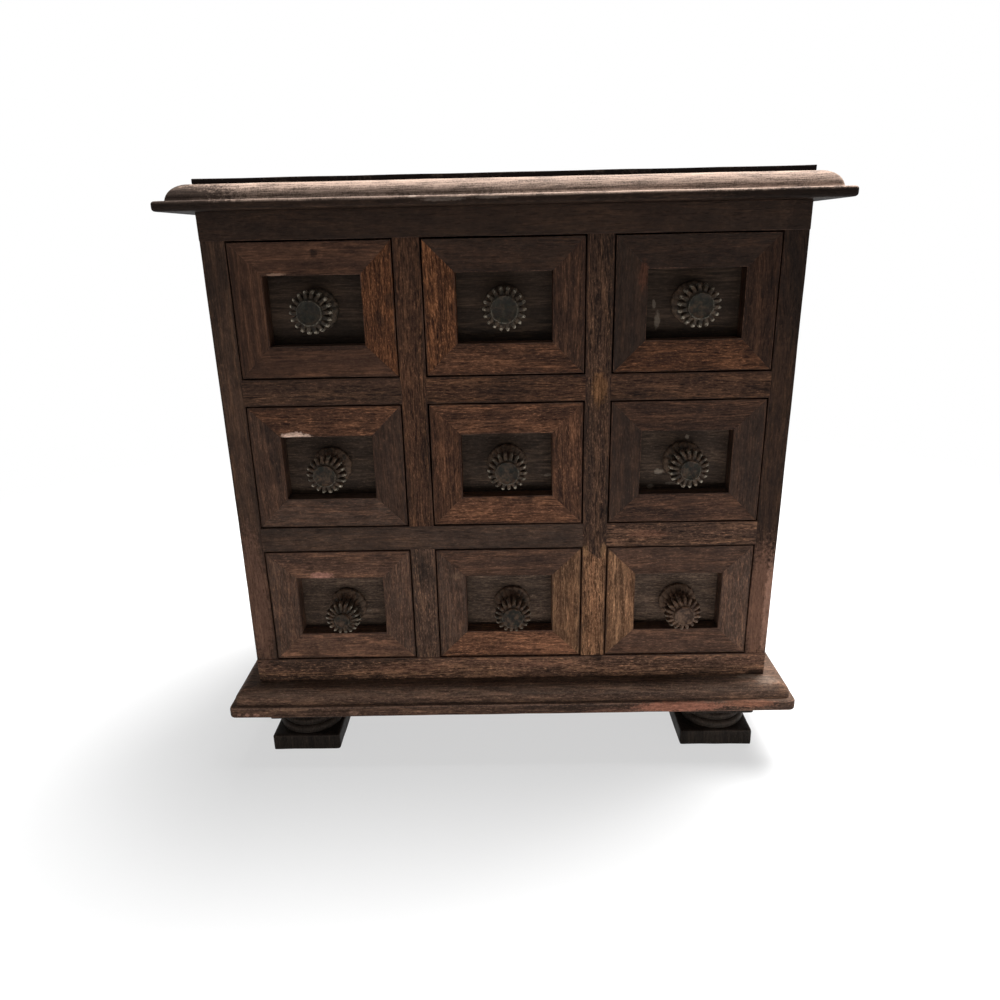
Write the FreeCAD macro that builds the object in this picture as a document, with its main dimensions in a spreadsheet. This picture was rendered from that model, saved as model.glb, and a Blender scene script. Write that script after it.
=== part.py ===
import FreeCAD
import Part
import math
import os
import Sketcher
from FreeCAD import Placement, Rotation, Vector

# A tabletop chest of nine small spice drawers, made of dark hardwood, with iron knobs.
# +Z is up, the drawers face -Y, and the origin is on the floor under the middle of the chest.
# Every piece is built from the sizes in the sheet "Sizes" and the places in "Layout".

doc = FreeCAD.newDocument("SpiceDrawerCabinet")
sheet = doc.addObject("Spreadsheet::Sheet", "Sizes")
layout = doc.addObject("App::VarSet", "Layout")

# Driving sizes, in millimetres, and one count
sizes = {
    # Carcass
    "body_depth": 180.0,
    "side_thickness": 10.5,
    "back_thickness": 5.0,
    "back_rebate": 5.0,
    "shelf_thickness": 6.0,
    "shelf_housing": 3.0,
    "partition_thickness": 11.0,

    # Face frame: three openings, two muntins and two stiles make up the width of the body
    "frame_depth": 14.0,
    "stile_width": 12.3,
    "opening_width": 83.0,
    "opening_height": 69.0,
    "muntin_width": 13.8,
    "cross_rail_height": 14.2,
    "top_rail_height": 14.2,
    "bottom_rail_height": 14.6,
    "rail_proud": 0.6,
    "muntin_housing": 3.5,
    "splice_depth": 7.6,
    "splice_offset": 3.0,

    # Top: a board with a moulded edge, and the thin panel laid on it
    "top_overhang": 16.0,
    "top_side_overhang": 15.4,
    "top_edge_height": 4.8,
    "top_ledge": 5.0,
    "top_ovolo_run": 9.0,
    "top_ovolo_rise": 7.8,
    "top_panel_thickness": 2.6,

    # Base board, with a moulded edge of the same kind
    "base_overhang": 16.0,
    "base_side_overhang": 15.4,
    "base_edge_height": 6.9,
    "base_ledge": 3.2,
    "base_ovolo_run": 6.4,
    "base_ovolo_rise": 8.7,
    "board_edge_round": 1.4,

    # Feet: square blocks above and below, two turned rings and a neck between them
    "foot_side": 41.5,
    "foot_inset": 17.8,
    "foot_corner_chamfer": 1.8,
    "foot_block_height": 10.4,
    "foot_cap_height": 12.8,
    "foot_lower_ring_radius": 19.8,
    "foot_lower_ring_height": 5.0,
    "foot_upper_ring_radius": 18.2,
    "foot_upper_ring_height": 4.3,
    "foot_ring_bulge": 2.0,
    "foot_ring_bevel": 1.5,
    "foot_neck_radius": 16.0,
    "foot_neck_height": 2.8,

    # Drawers
    "strip_width": 16.4,
    "strip_thickness": 9.4,
    "front_panel_thickness": 7.0,
    "drawer_side_thickness": 6.0,
    "drawer_side_height": 50.0,
    "drawer_bottom_thickness": 3.5,
    "drawer_length": 156.0,

    # Knobs: fluted castings on a stud that a nut holds inside the drawer
    "knob_length": 21.8,
    "knob_base_radius": 10.3,
    "knob_base_thickness": 1.8,
    "knob_neck_radius": 7.4,
    "knob_neck_place": 6.4,
    "knob_rim_radius": 11.2,
    "knob_rim_back": 14.6,
    "knob_rim_thickness": 3.0,
    "knob_teeth": 18,
    "knob_notch_depth": 2.4,
    "knob_face_radius": 7.4,
    "knob_face_height": 2.2,
    "knob_face_margin": 0.15,
    "stud_radius": 2.0,
    "stud_end": 1.2,
    "nut_width": 7.0,
    "nut_thickness": 3.2,
    "knob_drop_top_row": 0.0,
    "knob_drop_middle_row": 1.2,
    "knob_drop_bottom_row": 3.6,
    "knob_shift_bottom_row": 1.8,

    # Clearances, and how far a cut runs past the wood
    "front_gap": 0.6,
    "side_gap": 0.8,
    "running_gap": 0.3,
    "mitre_gap": 0.12,
    "stud_hole_play": 0.25,
    "thread_play": 0.05,
    "trim_margin": 3.0,
}
for row, (name, value) in enumerate(sizes.items(), 1):
    sheet.set("A%d" % row, name)
    sheet.set("B%d" % row, str(value))
    sheet.setAlias("B%d" % row, name)


def derive(name, expression):
    """Add a size or place that follows from others."""
    layout.addProperty("App::PropertyFloat", name, "Derived")
    layout.setExpression(name, expression)


# Heights, from the floor up
derive("lower_ring_top", "Sizes.foot_block_height + Sizes.foot_lower_ring_height")
derive("upper_ring_top", "Layout.lower_ring_top + Sizes.foot_upper_ring_height")
derive("foot_cap_bottom", "Layout.upper_ring_top + Sizes.foot_neck_height")
derive("base_bottom", "Layout.foot_cap_bottom + Sizes.foot_cap_height")
derive("base_thickness", "Sizes.base_edge_height + Sizes.base_ovolo_rise")
derive("body_bottom", "Layout.base_bottom + Layout.base_thickness")
derive("pitch_z", "Sizes.opening_height + Sizes.cross_rail_height")
derive("first_opening_bottom", "Layout.body_bottom + Sizes.bottom_rail_height")
derive("top_rail_bottom", "Layout.first_opening_bottom + 2 * Layout.pitch_z + Sizes.opening_height")
derive("body_top", "Layout.top_rail_bottom + Sizes.top_rail_height")
derive("body_height", "Layout.body_top - Layout.body_bottom")
derive("top_thickness", "Sizes.top_edge_height + Sizes.top_ovolo_rise")
derive("top_face", "Layout.body_top + Layout.top_thickness")
derive("lower_cross_rail_bottom", "Layout.first_opening_bottom + Sizes.opening_height")
derive("lower_cross_rail_top", "Layout.first_opening_bottom + Layout.pitch_z")

# Widths and depths, from the middle out
derive("body_width", "3 * Sizes.opening_width + 2 * Sizes.muntin_width + 2 * Sizes.stile_width")
derive("half_body_width", "Layout.body_width / 2")
derive("half_body_depth", "Sizes.body_depth / 2")
derive("pitch_x", "Sizes.opening_width + Sizes.muntin_width")
derive("half_opening_width", "Sizes.opening_width / 2")
derive("muntin_outer", "Layout.half_opening_width + Sizes.muntin_width")
derive("outer_opening_edge", "Layout.muntin_outer + Sizes.opening_width")
derive("front", "-Layout.half_body_depth")
derive("frame_back", "Layout.front + Sizes.frame_depth")
derive("back_panel_front", "Layout.half_body_depth - Sizes.back_thickness")
derive("inside_depth", "Layout.back_panel_front - Layout.frame_back")
derive("side_inner", "Layout.half_body_width - Sizes.side_thickness")
derive("rebate_edge", "Layout.side_inner + Sizes.back_rebate")
derive("housing_edge", "Layout.side_inner + Sizes.shelf_housing")
derive("splice_place", "Layout.half_opening_width + Sizes.splice_offset")
derive("splice_point", "Layout.lower_cross_rail_bottom - Sizes.splice_depth")
derive("muntin_foot", "Layout.first_opening_bottom - Sizes.muntin_housing")

# Drawers, from the middle of each drawer's front face
derive("front_width", "Sizes.opening_width - 2 * Sizes.front_gap")
derive("front_height", "Sizes.opening_height - 2 * Sizes.front_gap")
derive("box_width", "Sizes.opening_width - 2 * Sizes.side_gap")
derive("box_front", "Sizes.strip_thickness + Sizes.front_panel_thickness")
derive("box_depth", "Sizes.drawer_length - Layout.box_front")
derive("box_bottom", "Sizes.running_gap - Sizes.opening_height / 2")
derive("box_floor", "Layout.box_bottom + Sizes.drawer_bottom_thickness")
derive("front_half_width", "Layout.front_width / 2")
derive("front_half_height", "Layout.front_height / 2")
derive("inner_half_width", "Layout.front_half_width - Sizes.strip_width")
derive("inner_half_height", "Layout.front_half_height - Sizes.strip_width")
derive("mitre_set_back", "Sizes.mitre_gap / sqrt(2)")
derive("strip_outer_x", "Layout.front_half_width - Layout.mitre_set_back")
derive("strip_inner_x", "Layout.inner_half_width - Layout.mitre_set_back")
derive("strip_outer_z", "Layout.front_half_height - Layout.mitre_set_back")
derive("strip_inner_z", "Layout.inner_half_height - Layout.mitre_set_back")
derive("box_half_width", "Layout.box_width / 2")
derive("column_left", "-Layout.pitch_x")
derive("column_centre", "0")
derive("column_right", "Layout.pitch_x")
derive("row_bottom", "Layout.first_opening_bottom + Sizes.opening_height / 2")
derive("row_middle", "Layout.row_bottom + Layout.pitch_z")
derive("row_top", "Layout.row_middle + Layout.pitch_z")
derive("knob_x_bottom", "Sizes.knob_shift_bottom_row")
derive("knob_x_middle", "0")
derive("knob_x_top", "0")
derive("knob_z_bottom", "-Sizes.knob_drop_bottom_row")
derive("knob_z_middle", "-Sizes.knob_drop_middle_row")
derive("knob_z_top", "-Sizes.knob_drop_top_row")

# Knob profile, from the face of the drawer's panel
derive("knob_rim_front", "Sizes.knob_rim_back + Sizes.knob_rim_thickness")
derive("knob_face_back", "Sizes.knob_length - Sizes.knob_face_height")
derive("notch_share", "1 - Sizes.knob_notch_depth / Sizes.knob_rim_radius")
derive("knob_bevel_radius", "(Sizes.knob_face_radius + Sizes.knob_face_margin) / Layout.notch_share")
derive("stud_length", "Sizes.front_panel_thickness + Sizes.nut_thickness + Sizes.stud_end")

# Foot profile, and each foot's middle
derive("foot_half", "Sizes.foot_side / 2")
derive("foot_flat", "Layout.foot_half - Sizes.foot_corner_chamfer")
derive("foot_x", "Layout.half_body_width + Sizes.base_side_overhang - Sizes.foot_inset - Layout.foot_half")
derive("foot_y", "Layout.half_body_depth + Sizes.base_overhang - Sizes.foot_inset - Layout.foot_half")
derive("lower_ring_edge", "Sizes.foot_lower_ring_radius - Sizes.foot_ring_bulge")
derive("upper_ring_edge", "Sizes.foot_upper_ring_radius - Sizes.foot_ring_bulge")
derive("lower_band_bottom", "Sizes.foot_block_height + Sizes.foot_ring_bevel")
derive("lower_band_top", "Layout.lower_ring_top - Sizes.foot_ring_bevel")
derive("upper_band_bottom", "Layout.lower_ring_top + Sizes.foot_ring_bevel")
derive("upper_band_top", "Layout.upper_ring_top - Sizes.foot_ring_bevel")

# Shelf housings
derive("first_shelf_bottom", "Layout.first_opening_bottom - Sizes.shelf_thickness")
derive("housing_cut_edge", "Layout.side_inner - Sizes.trim_margin")
doc.recompute()


def path_of(name):
    """Give the expression for a size or place by its bare name, with its sign."""
    sign = "-" if name.startswith("-") else ""
    bare = name.lstrip("-")
    return sign + ("Sizes." if bare in sizes else "Layout.") + bare


def number(name):
    """Give the present value of a size or place by its bare name, with its sign."""
    if name == "0":
        return 0.0
    bare = name.lstrip("-")
    value = float(sheet.get(bare)) if bare in sizes else getattr(layout, bare)
    return -value if name.startswith("-") else value


def bind(item, bindings):
    for path, expression in bindings.items():
        item.setExpression(path, expression)


def place(item, x="0", y="0", z="0"):
    bind(item, {"Placement.Base.x": x, "Placement.Base.y": y, "Placement.Base.z": z})
    return item


def box(name, length, width, height, x, y, z):
    """A plain board: its length is along X, its width along Y, and x, y, z is its lowest corner."""
    board = doc.addObject("Part::Box", name)
    bind(board, {"Length": length, "Width": width, "Height": height})
    return place(board, x, y, z)


def group(name, pieces):
    """Hold separate pieces together as one node."""
    compound = doc.addObject("Part::Compound", name)
    compound.Links = pieces
    return compound


def mirrored(name, source, normal):
    mirror = doc.addObject("Part::Mirroring", name)
    mirror.Source = source
    mirror.Base = Vector(0, 0, 0)
    mirror.Normal = normal
    return mirror


def cut(name, base, tool):
    result = doc.addObject("Part::Cut", name)
    result.Base = base
    result.Tool = tool
    return result


def new_body(name):
    return doc.addObject("PartDesign::Body", name)


def new_sketch(body, role, name, height=None):
    """Start a sketch on one of the body's own planes, raised from it by a named height."""
    sketch = body.newObject("Sketcher::SketchObject", name)
    plane = next(item for item in body.Origin.OriginFeatures if item.Role == role)
    sketch.AttachmentSupport = [(plane, "")]
    sketch.MapMode = "FlatFace"
    if height:
        sketch.setExpression("AttachmentOffset.Base.z", path_of(height))
    return sketch


def hold(sketch, constraint, name, value_name):
    """Add a dimension to the sketch and bind it to a size or place."""
    index = sketch.addConstraint(constraint)
    sketch.renameConstraint(index, name)
    sketch.setExpression("Constraints." + name, path_of(value_name))


def outline(sketch, corners):
    """Draw one closed outline whose corners are names of sizes or places.

    A corner is (x, y). A third name is the X of the centre of the arc that leads to the next corner.
    """
    count = len(corners)
    loop = sketch.GeometryCount
    points = [Vector(number(corner[0]), number(corner[1]), 0) for corner in corners]
    ends = []
    for index, corner in enumerate(corners):
        start = points[index]
        finish = points[(index + 1) % count]
        if len(corner) == 2:
            edge = sketch.addGeometry(Part.LineSegment(start, finish))
            ends.append((edge, 1, 2))
            continue
        centre_x = number(corner[2])
        across = (finish.x - centre_x) ** 2 - (start.x - centre_x) ** 2
        centre_y = (across + finish.y ** 2 - start.y ** 2) / (2 * (finish.y - start.y))
        centre = Vector(centre_x, centre_y, 0)
        circle = Part.Circle(centre, Vector(0, 0, 1), (start - centre).Length)
        turn = (start - centre).cross(finish - centre).z
        first, last = (start, finish) if turn > 0 else (finish, start)
        arc = Part.ArcOfCircle(circle, circle.parameter(first), circle.parameter(last))
        edge = sketch.addGeometry(arc)
        ends.append((edge, 1, 2) if turn > 0 else (edge, 2, 1))
        distance = Sketcher.Constraint("DistanceX", -1, 1, edge, 3, centre_x)
        hold(sketch, distance, "centre%d" % edge, corner[2])
    for index, (edge, start, finish) in enumerate(ends):
        following, next_start, next_finish = ends[(index + 1) % count]
        sketch.addConstraint(Sketcher.Constraint("Coincident", edge, finish, following, next_start))
        label = "%d_%d" % (loop, index)
        x_name, y_name = corners[index][:2]
        if x_name == "0":
            sketch.addConstraint(Sketcher.Constraint("PointOnObject", edge, start, -2))
        else:
            distance = Sketcher.Constraint("DistanceX", -1, 1, edge, start, number(x_name))
            hold(sketch, distance, "x" + label, x_name)
        if y_name == "0":
            sketch.addConstraint(Sketcher.Constraint("PointOnObject", edge, start, -1))
        else:
            distance = Sketcher.Constraint("DistanceY", -1, 1, edge, start, number(y_name))
            hold(sketch, distance, "y" + label, y_name)


def pad(body, sketch, name, length, midplane=False):
    feature = body.newObject("PartDesign::Pad", name)
    feature.Profile = sketch
    feature.Midplane = midplane
    feature.setExpression("Length", path_of(length))
    return feature


def revolve(body, sketch, name):
    feature = body.newObject("PartDesign::Revolution", name)
    feature.Profile = sketch
    feature.ReferenceAxis = (sketch, ["V_Axis"])
    feature.Angle = 360
    return feature


def pocket_through(body, sketch, name):
    """Cut the sketch right through the body both ways, and make sure that it removes something."""
    doc.recompute()
    before = body.Shape.Volume
    feature = body.newObject("PartDesign::Pocket", name)
    feature.Profile = sketch
    feature.Type = "ThroughAll"
    feature.Midplane = True
    doc.recompute()
    if body.Shape.Volume >= before:
        raise RuntimeError(name + " cuts nothing")
    return feature


def flip(corners):
    """Mirror a run of corners to the other side of the sketch's upright axis, in reverse order."""
    run = []
    for index in range(len(corners) - 1, -1, -1):
        x_name, y_name = corners[index][:2]
        arc = corners[index - 1][2:] if index else ()
        run.append(("-" + x_name, y_name) + tuple("-" + centre for centre in arc))
    return run


def moulded_board(name, kind, bottom):
    """A board with a moulded edge all round: a rounded edge, a flat ledge and an ovolo above it.

    The section across the depth is padded along the width, and both ends are then cut to the
    same section, so that the corners come out mitred.
    """
    derive(kind + "_edge_top", "Layout.%s + Sizes.%s_edge_height" % (bottom, kind))
    derive(kind + "_upper", "Layout.%s + Layout.%s_thickness" % (bottom, kind))
    derive(kind + "_round_low", "Layout.%s + Sizes.board_edge_round" % bottom)
    derive(kind + "_round_high", "Layout.%s_edge_top - Sizes.board_edge_round" % kind)
    for way, overhang in (("width", "_side_overhang"), ("depth", "_overhang")):
        half = "%s_half_%s" % (kind, way)
        derive(half, "Layout.half_body_%s + Sizes.%s" % (way, kind + overhang))
        derive("%s_%s_round" % (kind, way), "Layout.%s - Sizes.board_edge_round" % half)
        derive("%s_%s_ledge" % (kind, way), "Layout.%s - Sizes.%s_ledge" % (half, kind))
        derive("%s_%s_crest" % (kind, way), "Layout.%s_%s_ledge - Sizes.%s_ovolo_run" % (kind, way, kind))
        derive("%s_%s_beyond" % (kind, way), "Layout.%s + Sizes.trim_margin" % half)
    derive(kind + "_blank_width", "2 * Layout.%s_half_width + Sizes.trim_margin" % kind)
    doc.recompute()

    def half_section(way):
        inner = "%s_%s_" % (kind, way)
        return [
            (inner + "round", bottom, inner + "round"),
            ("%s_half_%s" % (kind, way), kind + "_round_low"),
            ("%s_half_%s" % (kind, way), kind + "_round_high", inner + "round"),
            (inner + "round", kind + "_edge_top"),
            (inner + "ledge", kind + "_edge_top", inner + "crest"),
            (inner + "crest", kind + "_upper"),
        ]

    body = new_body(name)
    section = new_sketch(body, "YZ_Plane", name + "_section")
    outline(section, half_section("depth") + flip(half_section("depth")))
    pad(body, section, name + "_blank", kind + "_blank_width", midplane=True)
    waste = half_section("width")
    waste.append((kind + "_width_beyond", kind + "_upper"))
    waste.append((kind + "_width_beyond", bottom))
    ends = new_sketch(body, "XZ_Plane", name + "_ends")
    outline(ends, waste)
    outline(ends, flip(waste))
    pocket_through(body, ends, name + "_end_mouldings")
    return body


def make_side():
    """The left side board: rebated for the back, with a housing for each shelf."""
    body = new_body("left_side_board")
    plan = new_sketch(body, "XY_Plane", "side_plan", "body_bottom")
    outline(plan, [
        ("-half_body_width", "frame_back"),
        ("-side_inner", "frame_back"),
        ("-side_inner", "back_panel_front"),
        ("-rebate_edge", "back_panel_front"),
        ("-rebate_edge", "half_body_depth"),
        ("-half_body_width", "half_body_depth"),
    ])
    pad(body, plan, "side_board", "body_height")
    doc.recompute()
    uncut = body.Shape.Volume
    housing = new_sketch(body, "XZ_Plane", "shelf_housing_section")
    outline(housing, [
        ("-housing_edge", "first_shelf_bottom"),
        ("-housing_cut_edge", "first_shelf_bottom"),
        ("-housing_cut_edge", "first_opening_bottom"),
        ("-housing_edge", "first_opening_bottom"),
    ])
    groove = body.newObject("PartDesign::Pocket", "shelf_housing_cut")
    groove.Profile = housing
    groove.Type = "ThroughAll"
    groove.Midplane = True
    doc.recompute()
    rows = body.newObject("PartDesign::LinearPattern", "shelf_housings")
    rows.Originals = [groove]
    rows.Direction = (housing, ["V_Axis"])
    bind(rows, {"Length": "2 * Layout.pitch_z"})
    rows.Occurrences = 3
    body.Tip = rows
    doc.recompute()
    if body.Shape.Volume >= uncut:
        raise RuntimeError("the shelf housings cut nothing")
    return body


def make_foot():
    """One foot, centred on its own upright axis: a square block, turned rings and a square cap."""
    half_plan = [
        ("foot_flat", "-foot_half"),
        ("foot_half", "-foot_flat"),
        ("foot_half", "foot_flat"),
        ("foot_flat", "foot_half"),
    ]
    body = new_body("foot")
    block = new_sketch(body, "XY_Plane", "foot_block_plan")
    outline(block, half_plan + flip(half_plan))
    pad(body, block, "foot_block", "foot_block_height")
    turning = new_sketch(body, "XZ_Plane", "foot_turning_profile")
    outline(turning, [
        ("0", "foot_block_height"),
        ("lower_ring_edge", "foot_block_height"),
        ("foot_lower_ring_radius", "lower_band_bottom"),
        ("foot_lower_ring_radius", "lower_band_top"),
        ("upper_ring_edge", "lower_ring_top"),
        ("foot_upper_ring_radius", "upper_band_bottom"),
        ("foot_upper_ring_radius", "upper_band_top"),
        ("foot_neck_radius", "upper_ring_top"),
        ("foot_neck_radius", "foot_cap_bottom"),
        ("0", "foot_cap_bottom"),
    ])
    revolve(body, turning, "foot_turning")
    cap = new_sketch(body, "XY_Plane", "foot_cap_plan", "foot_cap_bottom")
    outline(cap, half_plan + flip(half_plan))
    pad(body, cap, "foot_cap", "foot_cap_height")
    return place(body, "-Layout.foot_x", "-Layout.foot_y")


def notched_ring(height, radius):
    """The corners of one closed section across the knob: an outer corner, then a notch, all round."""
    steps = 2 * int(number("knob_teeth"))
    corners = []
    for step in range(steps + 1):
        turn = 2 * math.pi * step / steps
        reach = number(radius) * (1 if step % 2 == 0 else number("notch_share"))
        corners.append(Vector(reach * math.cos(turn), reach * math.sin(turn), number(height)))
    return corners


def make_fluting():
    """The knob's fluted body. Its sections differ only in scale, so every side of a flute is flat."""
    rings = [notched_ring(height, radius) for height, radius in (
        ("0", "knob_base_radius"),
        ("knob_base_thickness", "knob_base_radius"),
        ("knob_neck_place", "knob_neck_radius"),
        ("knob_rim_back", "knob_rim_radius"),
        ("knob_rim_front", "knob_rim_radius"),
        ("knob_face_back", "knob_bevel_radius"),
    )]
    faces = [Part.Face(Part.makePolygon(rings[0])), Part.Face(Part.makePolygon(rings[-1]))]
    for lower, upper in zip(rings, rings[1:]):
        for step in range(len(lower) - 1):
            corners = [lower[step], lower[step + 1], upper[step + 1], upper[step], lower[step]]
            faces.append(Part.Face(Part.makePolygon(corners)))
    shell = Part.makeShell(faces)
    shell.sewShape()
    fluting = doc.addObject("Part::Feature", "knob_fluting")
    fluting.Shape = Part.makeSolid(shell)
    return fluting


def make_knob():
    """A cast knob along its own +Z: a fluted spool that ends in teeth, a flat face and a stud."""
    face = doc.addObject("Part::Cylinder", "knob_face")
    bind(face, {"Radius": "Sizes.knob_face_radius", "Height": "Sizes.knob_face_height"})
    stud = doc.addObject("Part::Cylinder", "knob_stud")
    bind(stud, {"Radius": "Sizes.stud_radius", "Height": "Layout.stud_length"})
    casting = doc.addObject("Part::MultiFuse", "knob")
    casting.Shapes = [make_fluting(), place(face, z="Layout.knob_face_back"),
                      place(stud, z="-Layout.stud_length")]
    return casting


def make_nut():
    """The nut behind the drawer's front panel, along +Y from the panel's back."""
    blank = doc.addObject("Part::Prism", "nut_blank")
    blank.Polygon = 6
    bind(blank, {"Circumradius": "Sizes.nut_width / sqrt(3)", "Height": "Sizes.nut_thickness"})
    hole = doc.addObject("Part::Cylinder", "nut_hole")
    bind(hole, {"Radius": "Sizes.stud_radius + Sizes.thread_play", "Height": "Sizes.nut_thickness"})
    nut = cut("nut", blank, hole)
    nut.Placement = Placement(Vector(0, 0, 0), Rotation(Vector(1, 0, 0), -90))
    return place(nut, y="Layout.box_front")


def make_strips():
    """The four mitred strips that are glued round a drawer's front panel."""
    body = new_body("front_strips")
    body.AllowCompound = True
    face = new_sketch(body, "XZ_Plane", "front_strips_face")
    upper = [
        ("-strip_outer_x", "front_half_height"),
        ("strip_outer_x", "front_half_height"),
        ("strip_inner_x", "inner_half_height"),
        ("-strip_inner_x", "inner_half_height"),
    ]
    right = [
        ("front_half_width", "strip_outer_z"),
        ("front_half_width", "-strip_outer_z"),
        ("inner_half_width", "-strip_inner_z"),
        ("inner_half_width", "strip_inner_z"),
    ]
    outline(face, upper)
    outline(face, [(x_name, "-" + y_name) for x_name, y_name in upper])
    outline(face, right)
    outline(face, flip(right))
    strips = pad(body, face, "front_strips_pad", "strip_thickness")
    strips.Reversed = True
    return body


def make_front_panel(row):
    """A drawer's front panel in one row, with the hole for the knob's stud."""
    board = box(row + "_front_board", "Layout.front_width", "Sizes.front_panel_thickness",
                "Layout.front_height", "-Layout.front_half_width", "Sizes.strip_thickness",
                "-Layout.front_half_height")
    hole = doc.addObject("Part::Cylinder", row + "_stud_hole")
    bind(hole, {"Radius": "Sizes.stud_radius + Sizes.stud_hole_play",
                "Height": "Sizes.front_panel_thickness"})
    hole.Placement = Placement(Vector(0, 0, 0), Rotation(Vector(1, 0, 0), -90))
    place(hole, "Layout.knob_x_%s" % row, "Sizes.strip_thickness", "Layout.knob_z_%s" % row)
    return cut(row + "_front_panel_drilled", board, hole)


def make_box():
    """The two sides and the back of a drawer, standing on its bottom board."""
    side_depth = "Layout.box_depth"
    sides = [
        box("drawer_left_side", "Sizes.drawer_side_thickness", side_depth, "Sizes.drawer_side_height",
            "-Layout.box_half_width", "Layout.box_front", "Layout.box_floor"),
        box("drawer_right_side", "Sizes.drawer_side_thickness", side_depth, "Sizes.drawer_side_height",
            "Layout.box_half_width - Sizes.drawer_side_thickness", "Layout.box_front", "Layout.box_floor"),
    ]
    back = box("drawer_back", "Layout.box_width - 2 * Sizes.drawer_side_thickness",
               "Sizes.drawer_side_thickness", "Sizes.drawer_side_height",
               "Sizes.drawer_side_thickness - Layout.box_half_width",
               "Sizes.drawer_length - Sizes.drawer_side_thickness", "Layout.box_floor")
    return sides + [back]


def muntin_piece(name, corners):
    """One upright of the face frame, cut to an outline seen from the front."""
    body = new_body(name)
    face = new_sketch(body, "XZ_Plane", name + "_face", "half_body_depth")
    outline(face, corners)
    upright = pad(body, face, name + "_pad", "frame_depth")
    upright.Reversed = True
    return body


nodes = {}

# The boards above and below, and the feet
nodes["base_board"] = moulded_board("base_board_form", "base", "base_bottom")
nodes["top_board"] = moulded_board("top_board_form", "top", "body_top")
nodes["top_panel"] = box("top_panel_board", "Layout.body_width", "Sizes.body_depth",
                         "Sizes.top_panel_thickness", "-Layout.half_body_width",
                         "-Layout.half_body_depth", "Layout.top_face")
front_left_foot = make_foot()
front_right_foot = mirrored("front_right_foot", front_left_foot, Vector(1, 0, 0))
front_feet = group("front_feet", [front_left_foot, front_right_foot])
nodes["feet"] = group("four_feet", [front_feet, mirrored("back_feet", front_feet, Vector(0, 1, 0))])

# The carcass
nodes["left_side"] = make_side()
nodes["right_side"] = mirrored("right_side_board", nodes["left_side"], Vector(1, 0, 0))
nodes["back_panel"] = box("back_board", "2 * Layout.rebate_edge", "Sizes.back_thickness",
                          "Layout.body_height", "-Layout.rebate_edge", "Layout.back_panel_front",
                          "Layout.body_bottom")
shelves = []
partitions = []
for level in range(3):
    rise = " + %d * Layout.pitch_z" % level
    shelves.append(box("shelf_%d" % level, "2 * Layout.housing_edge", "Layout.inside_depth",
                       "Sizes.shelf_thickness", "-Layout.housing_edge", "Layout.frame_back",
                       "Layout.first_shelf_bottom" + rise))
    tall = "Layout.pitch_z - Sizes.shelf_thickness"
    if level == 2:
        tall = "Sizes.opening_height + Sizes.top_rail_height"
    for column in (-1, 1):
        middle = "%d * Layout.pitch_x / 2" % column
        partitions.append(box("partition", "Sizes.partition_thickness", "Layout.inside_depth", tall,
                              middle + " - Sizes.partition_thickness / 2", "Layout.frame_back",
                              "Layout.first_opening_bottom" + rise))
nodes["shelves"] = group("three_shelves", shelves)
nodes["partitions"] = group("six_partitions", partitions)

# The face frame: rails above and below, a little proud at the front, and stiles between them
rail_depth = "Sizes.frame_depth + Sizes.rail_proud"
rail_y = "Layout.front - Sizes.rail_proud"
nodes["top_rail"] = box("top_rail_bar", "Layout.body_width", rail_depth, "Sizes.top_rail_height",
                        "-Layout.half_body_width", rail_y, "Layout.top_rail_bottom")
bottom_bar = box("bottom_rail_bar", "Layout.body_width", rail_depth, "Sizes.bottom_rail_height",
                 "-Layout.half_body_width", rail_y, "Layout.body_bottom")
left_notch = box("muntin_notch", "Sizes.muntin_width", rail_depth, "Sizes.muntin_housing",
                 "-Layout.muntin_outer", rail_y, "Layout.muntin_foot")
right_notch = mirrored("right_muntin_notch", left_notch, Vector(1, 0, 0))
notches = group("muntin_notches", [left_notch, right_notch])
nodes["bottom_rail"] = cut("bottom_rail_notched", bottom_bar, notches)
left_stile = box("left_stile", "Sizes.stile_width", "Sizes.frame_depth",
                 "Layout.top_rail_bottom - Layout.first_opening_bottom",
                 "-Layout.half_body_width", "Layout.front", "Layout.first_opening_bottom")
nodes["stiles"] = group("two_stiles", [left_stile, mirrored("right_stile", left_stile, Vector(1, 0, 0))])

# The muntins: the right one runs on past the lower cross rail and is spliced to its lower piece
# with a V joint, and the left one stops on the rail.
nodes["muntins"] = group("four_muntin_pieces", [
    muntin_piece("left_upper_muntin", [
        ("-muntin_outer", "lower_cross_rail_top"),
        ("-half_opening_width", "lower_cross_rail_top"),
        ("-half_opening_width", "top_rail_bottom"),
        ("-muntin_outer", "top_rail_bottom"),
    ]),
    muntin_piece("left_lower_muntin", [
        ("-muntin_outer", "muntin_foot"),
        ("-half_opening_width", "muntin_foot"),
        ("-half_opening_width", "lower_cross_rail_bottom"),
        ("-muntin_outer", "lower_cross_rail_bottom"),
    ]),
    muntin_piece("right_upper_muntin", [
        ("half_opening_width", "lower_cross_rail_bottom"),
        ("splice_place", "splice_point"),
        ("muntin_outer", "lower_cross_rail_bottom"),
        ("muntin_outer", "top_rail_bottom"),
        ("half_opening_width", "top_rail_bottom"),
    ]),
    muntin_piece("right_lower_muntin", [
        ("half_opening_width", "muntin_foot"),
        ("muntin_outer", "muntin_foot"),
        ("muntin_outer", "lower_cross_rail_bottom"),
        ("splice_place", "splice_point"),
        ("half_opening_width", "lower_cross_rail_bottom"),
    ]),
])
cross_rails = []
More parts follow.
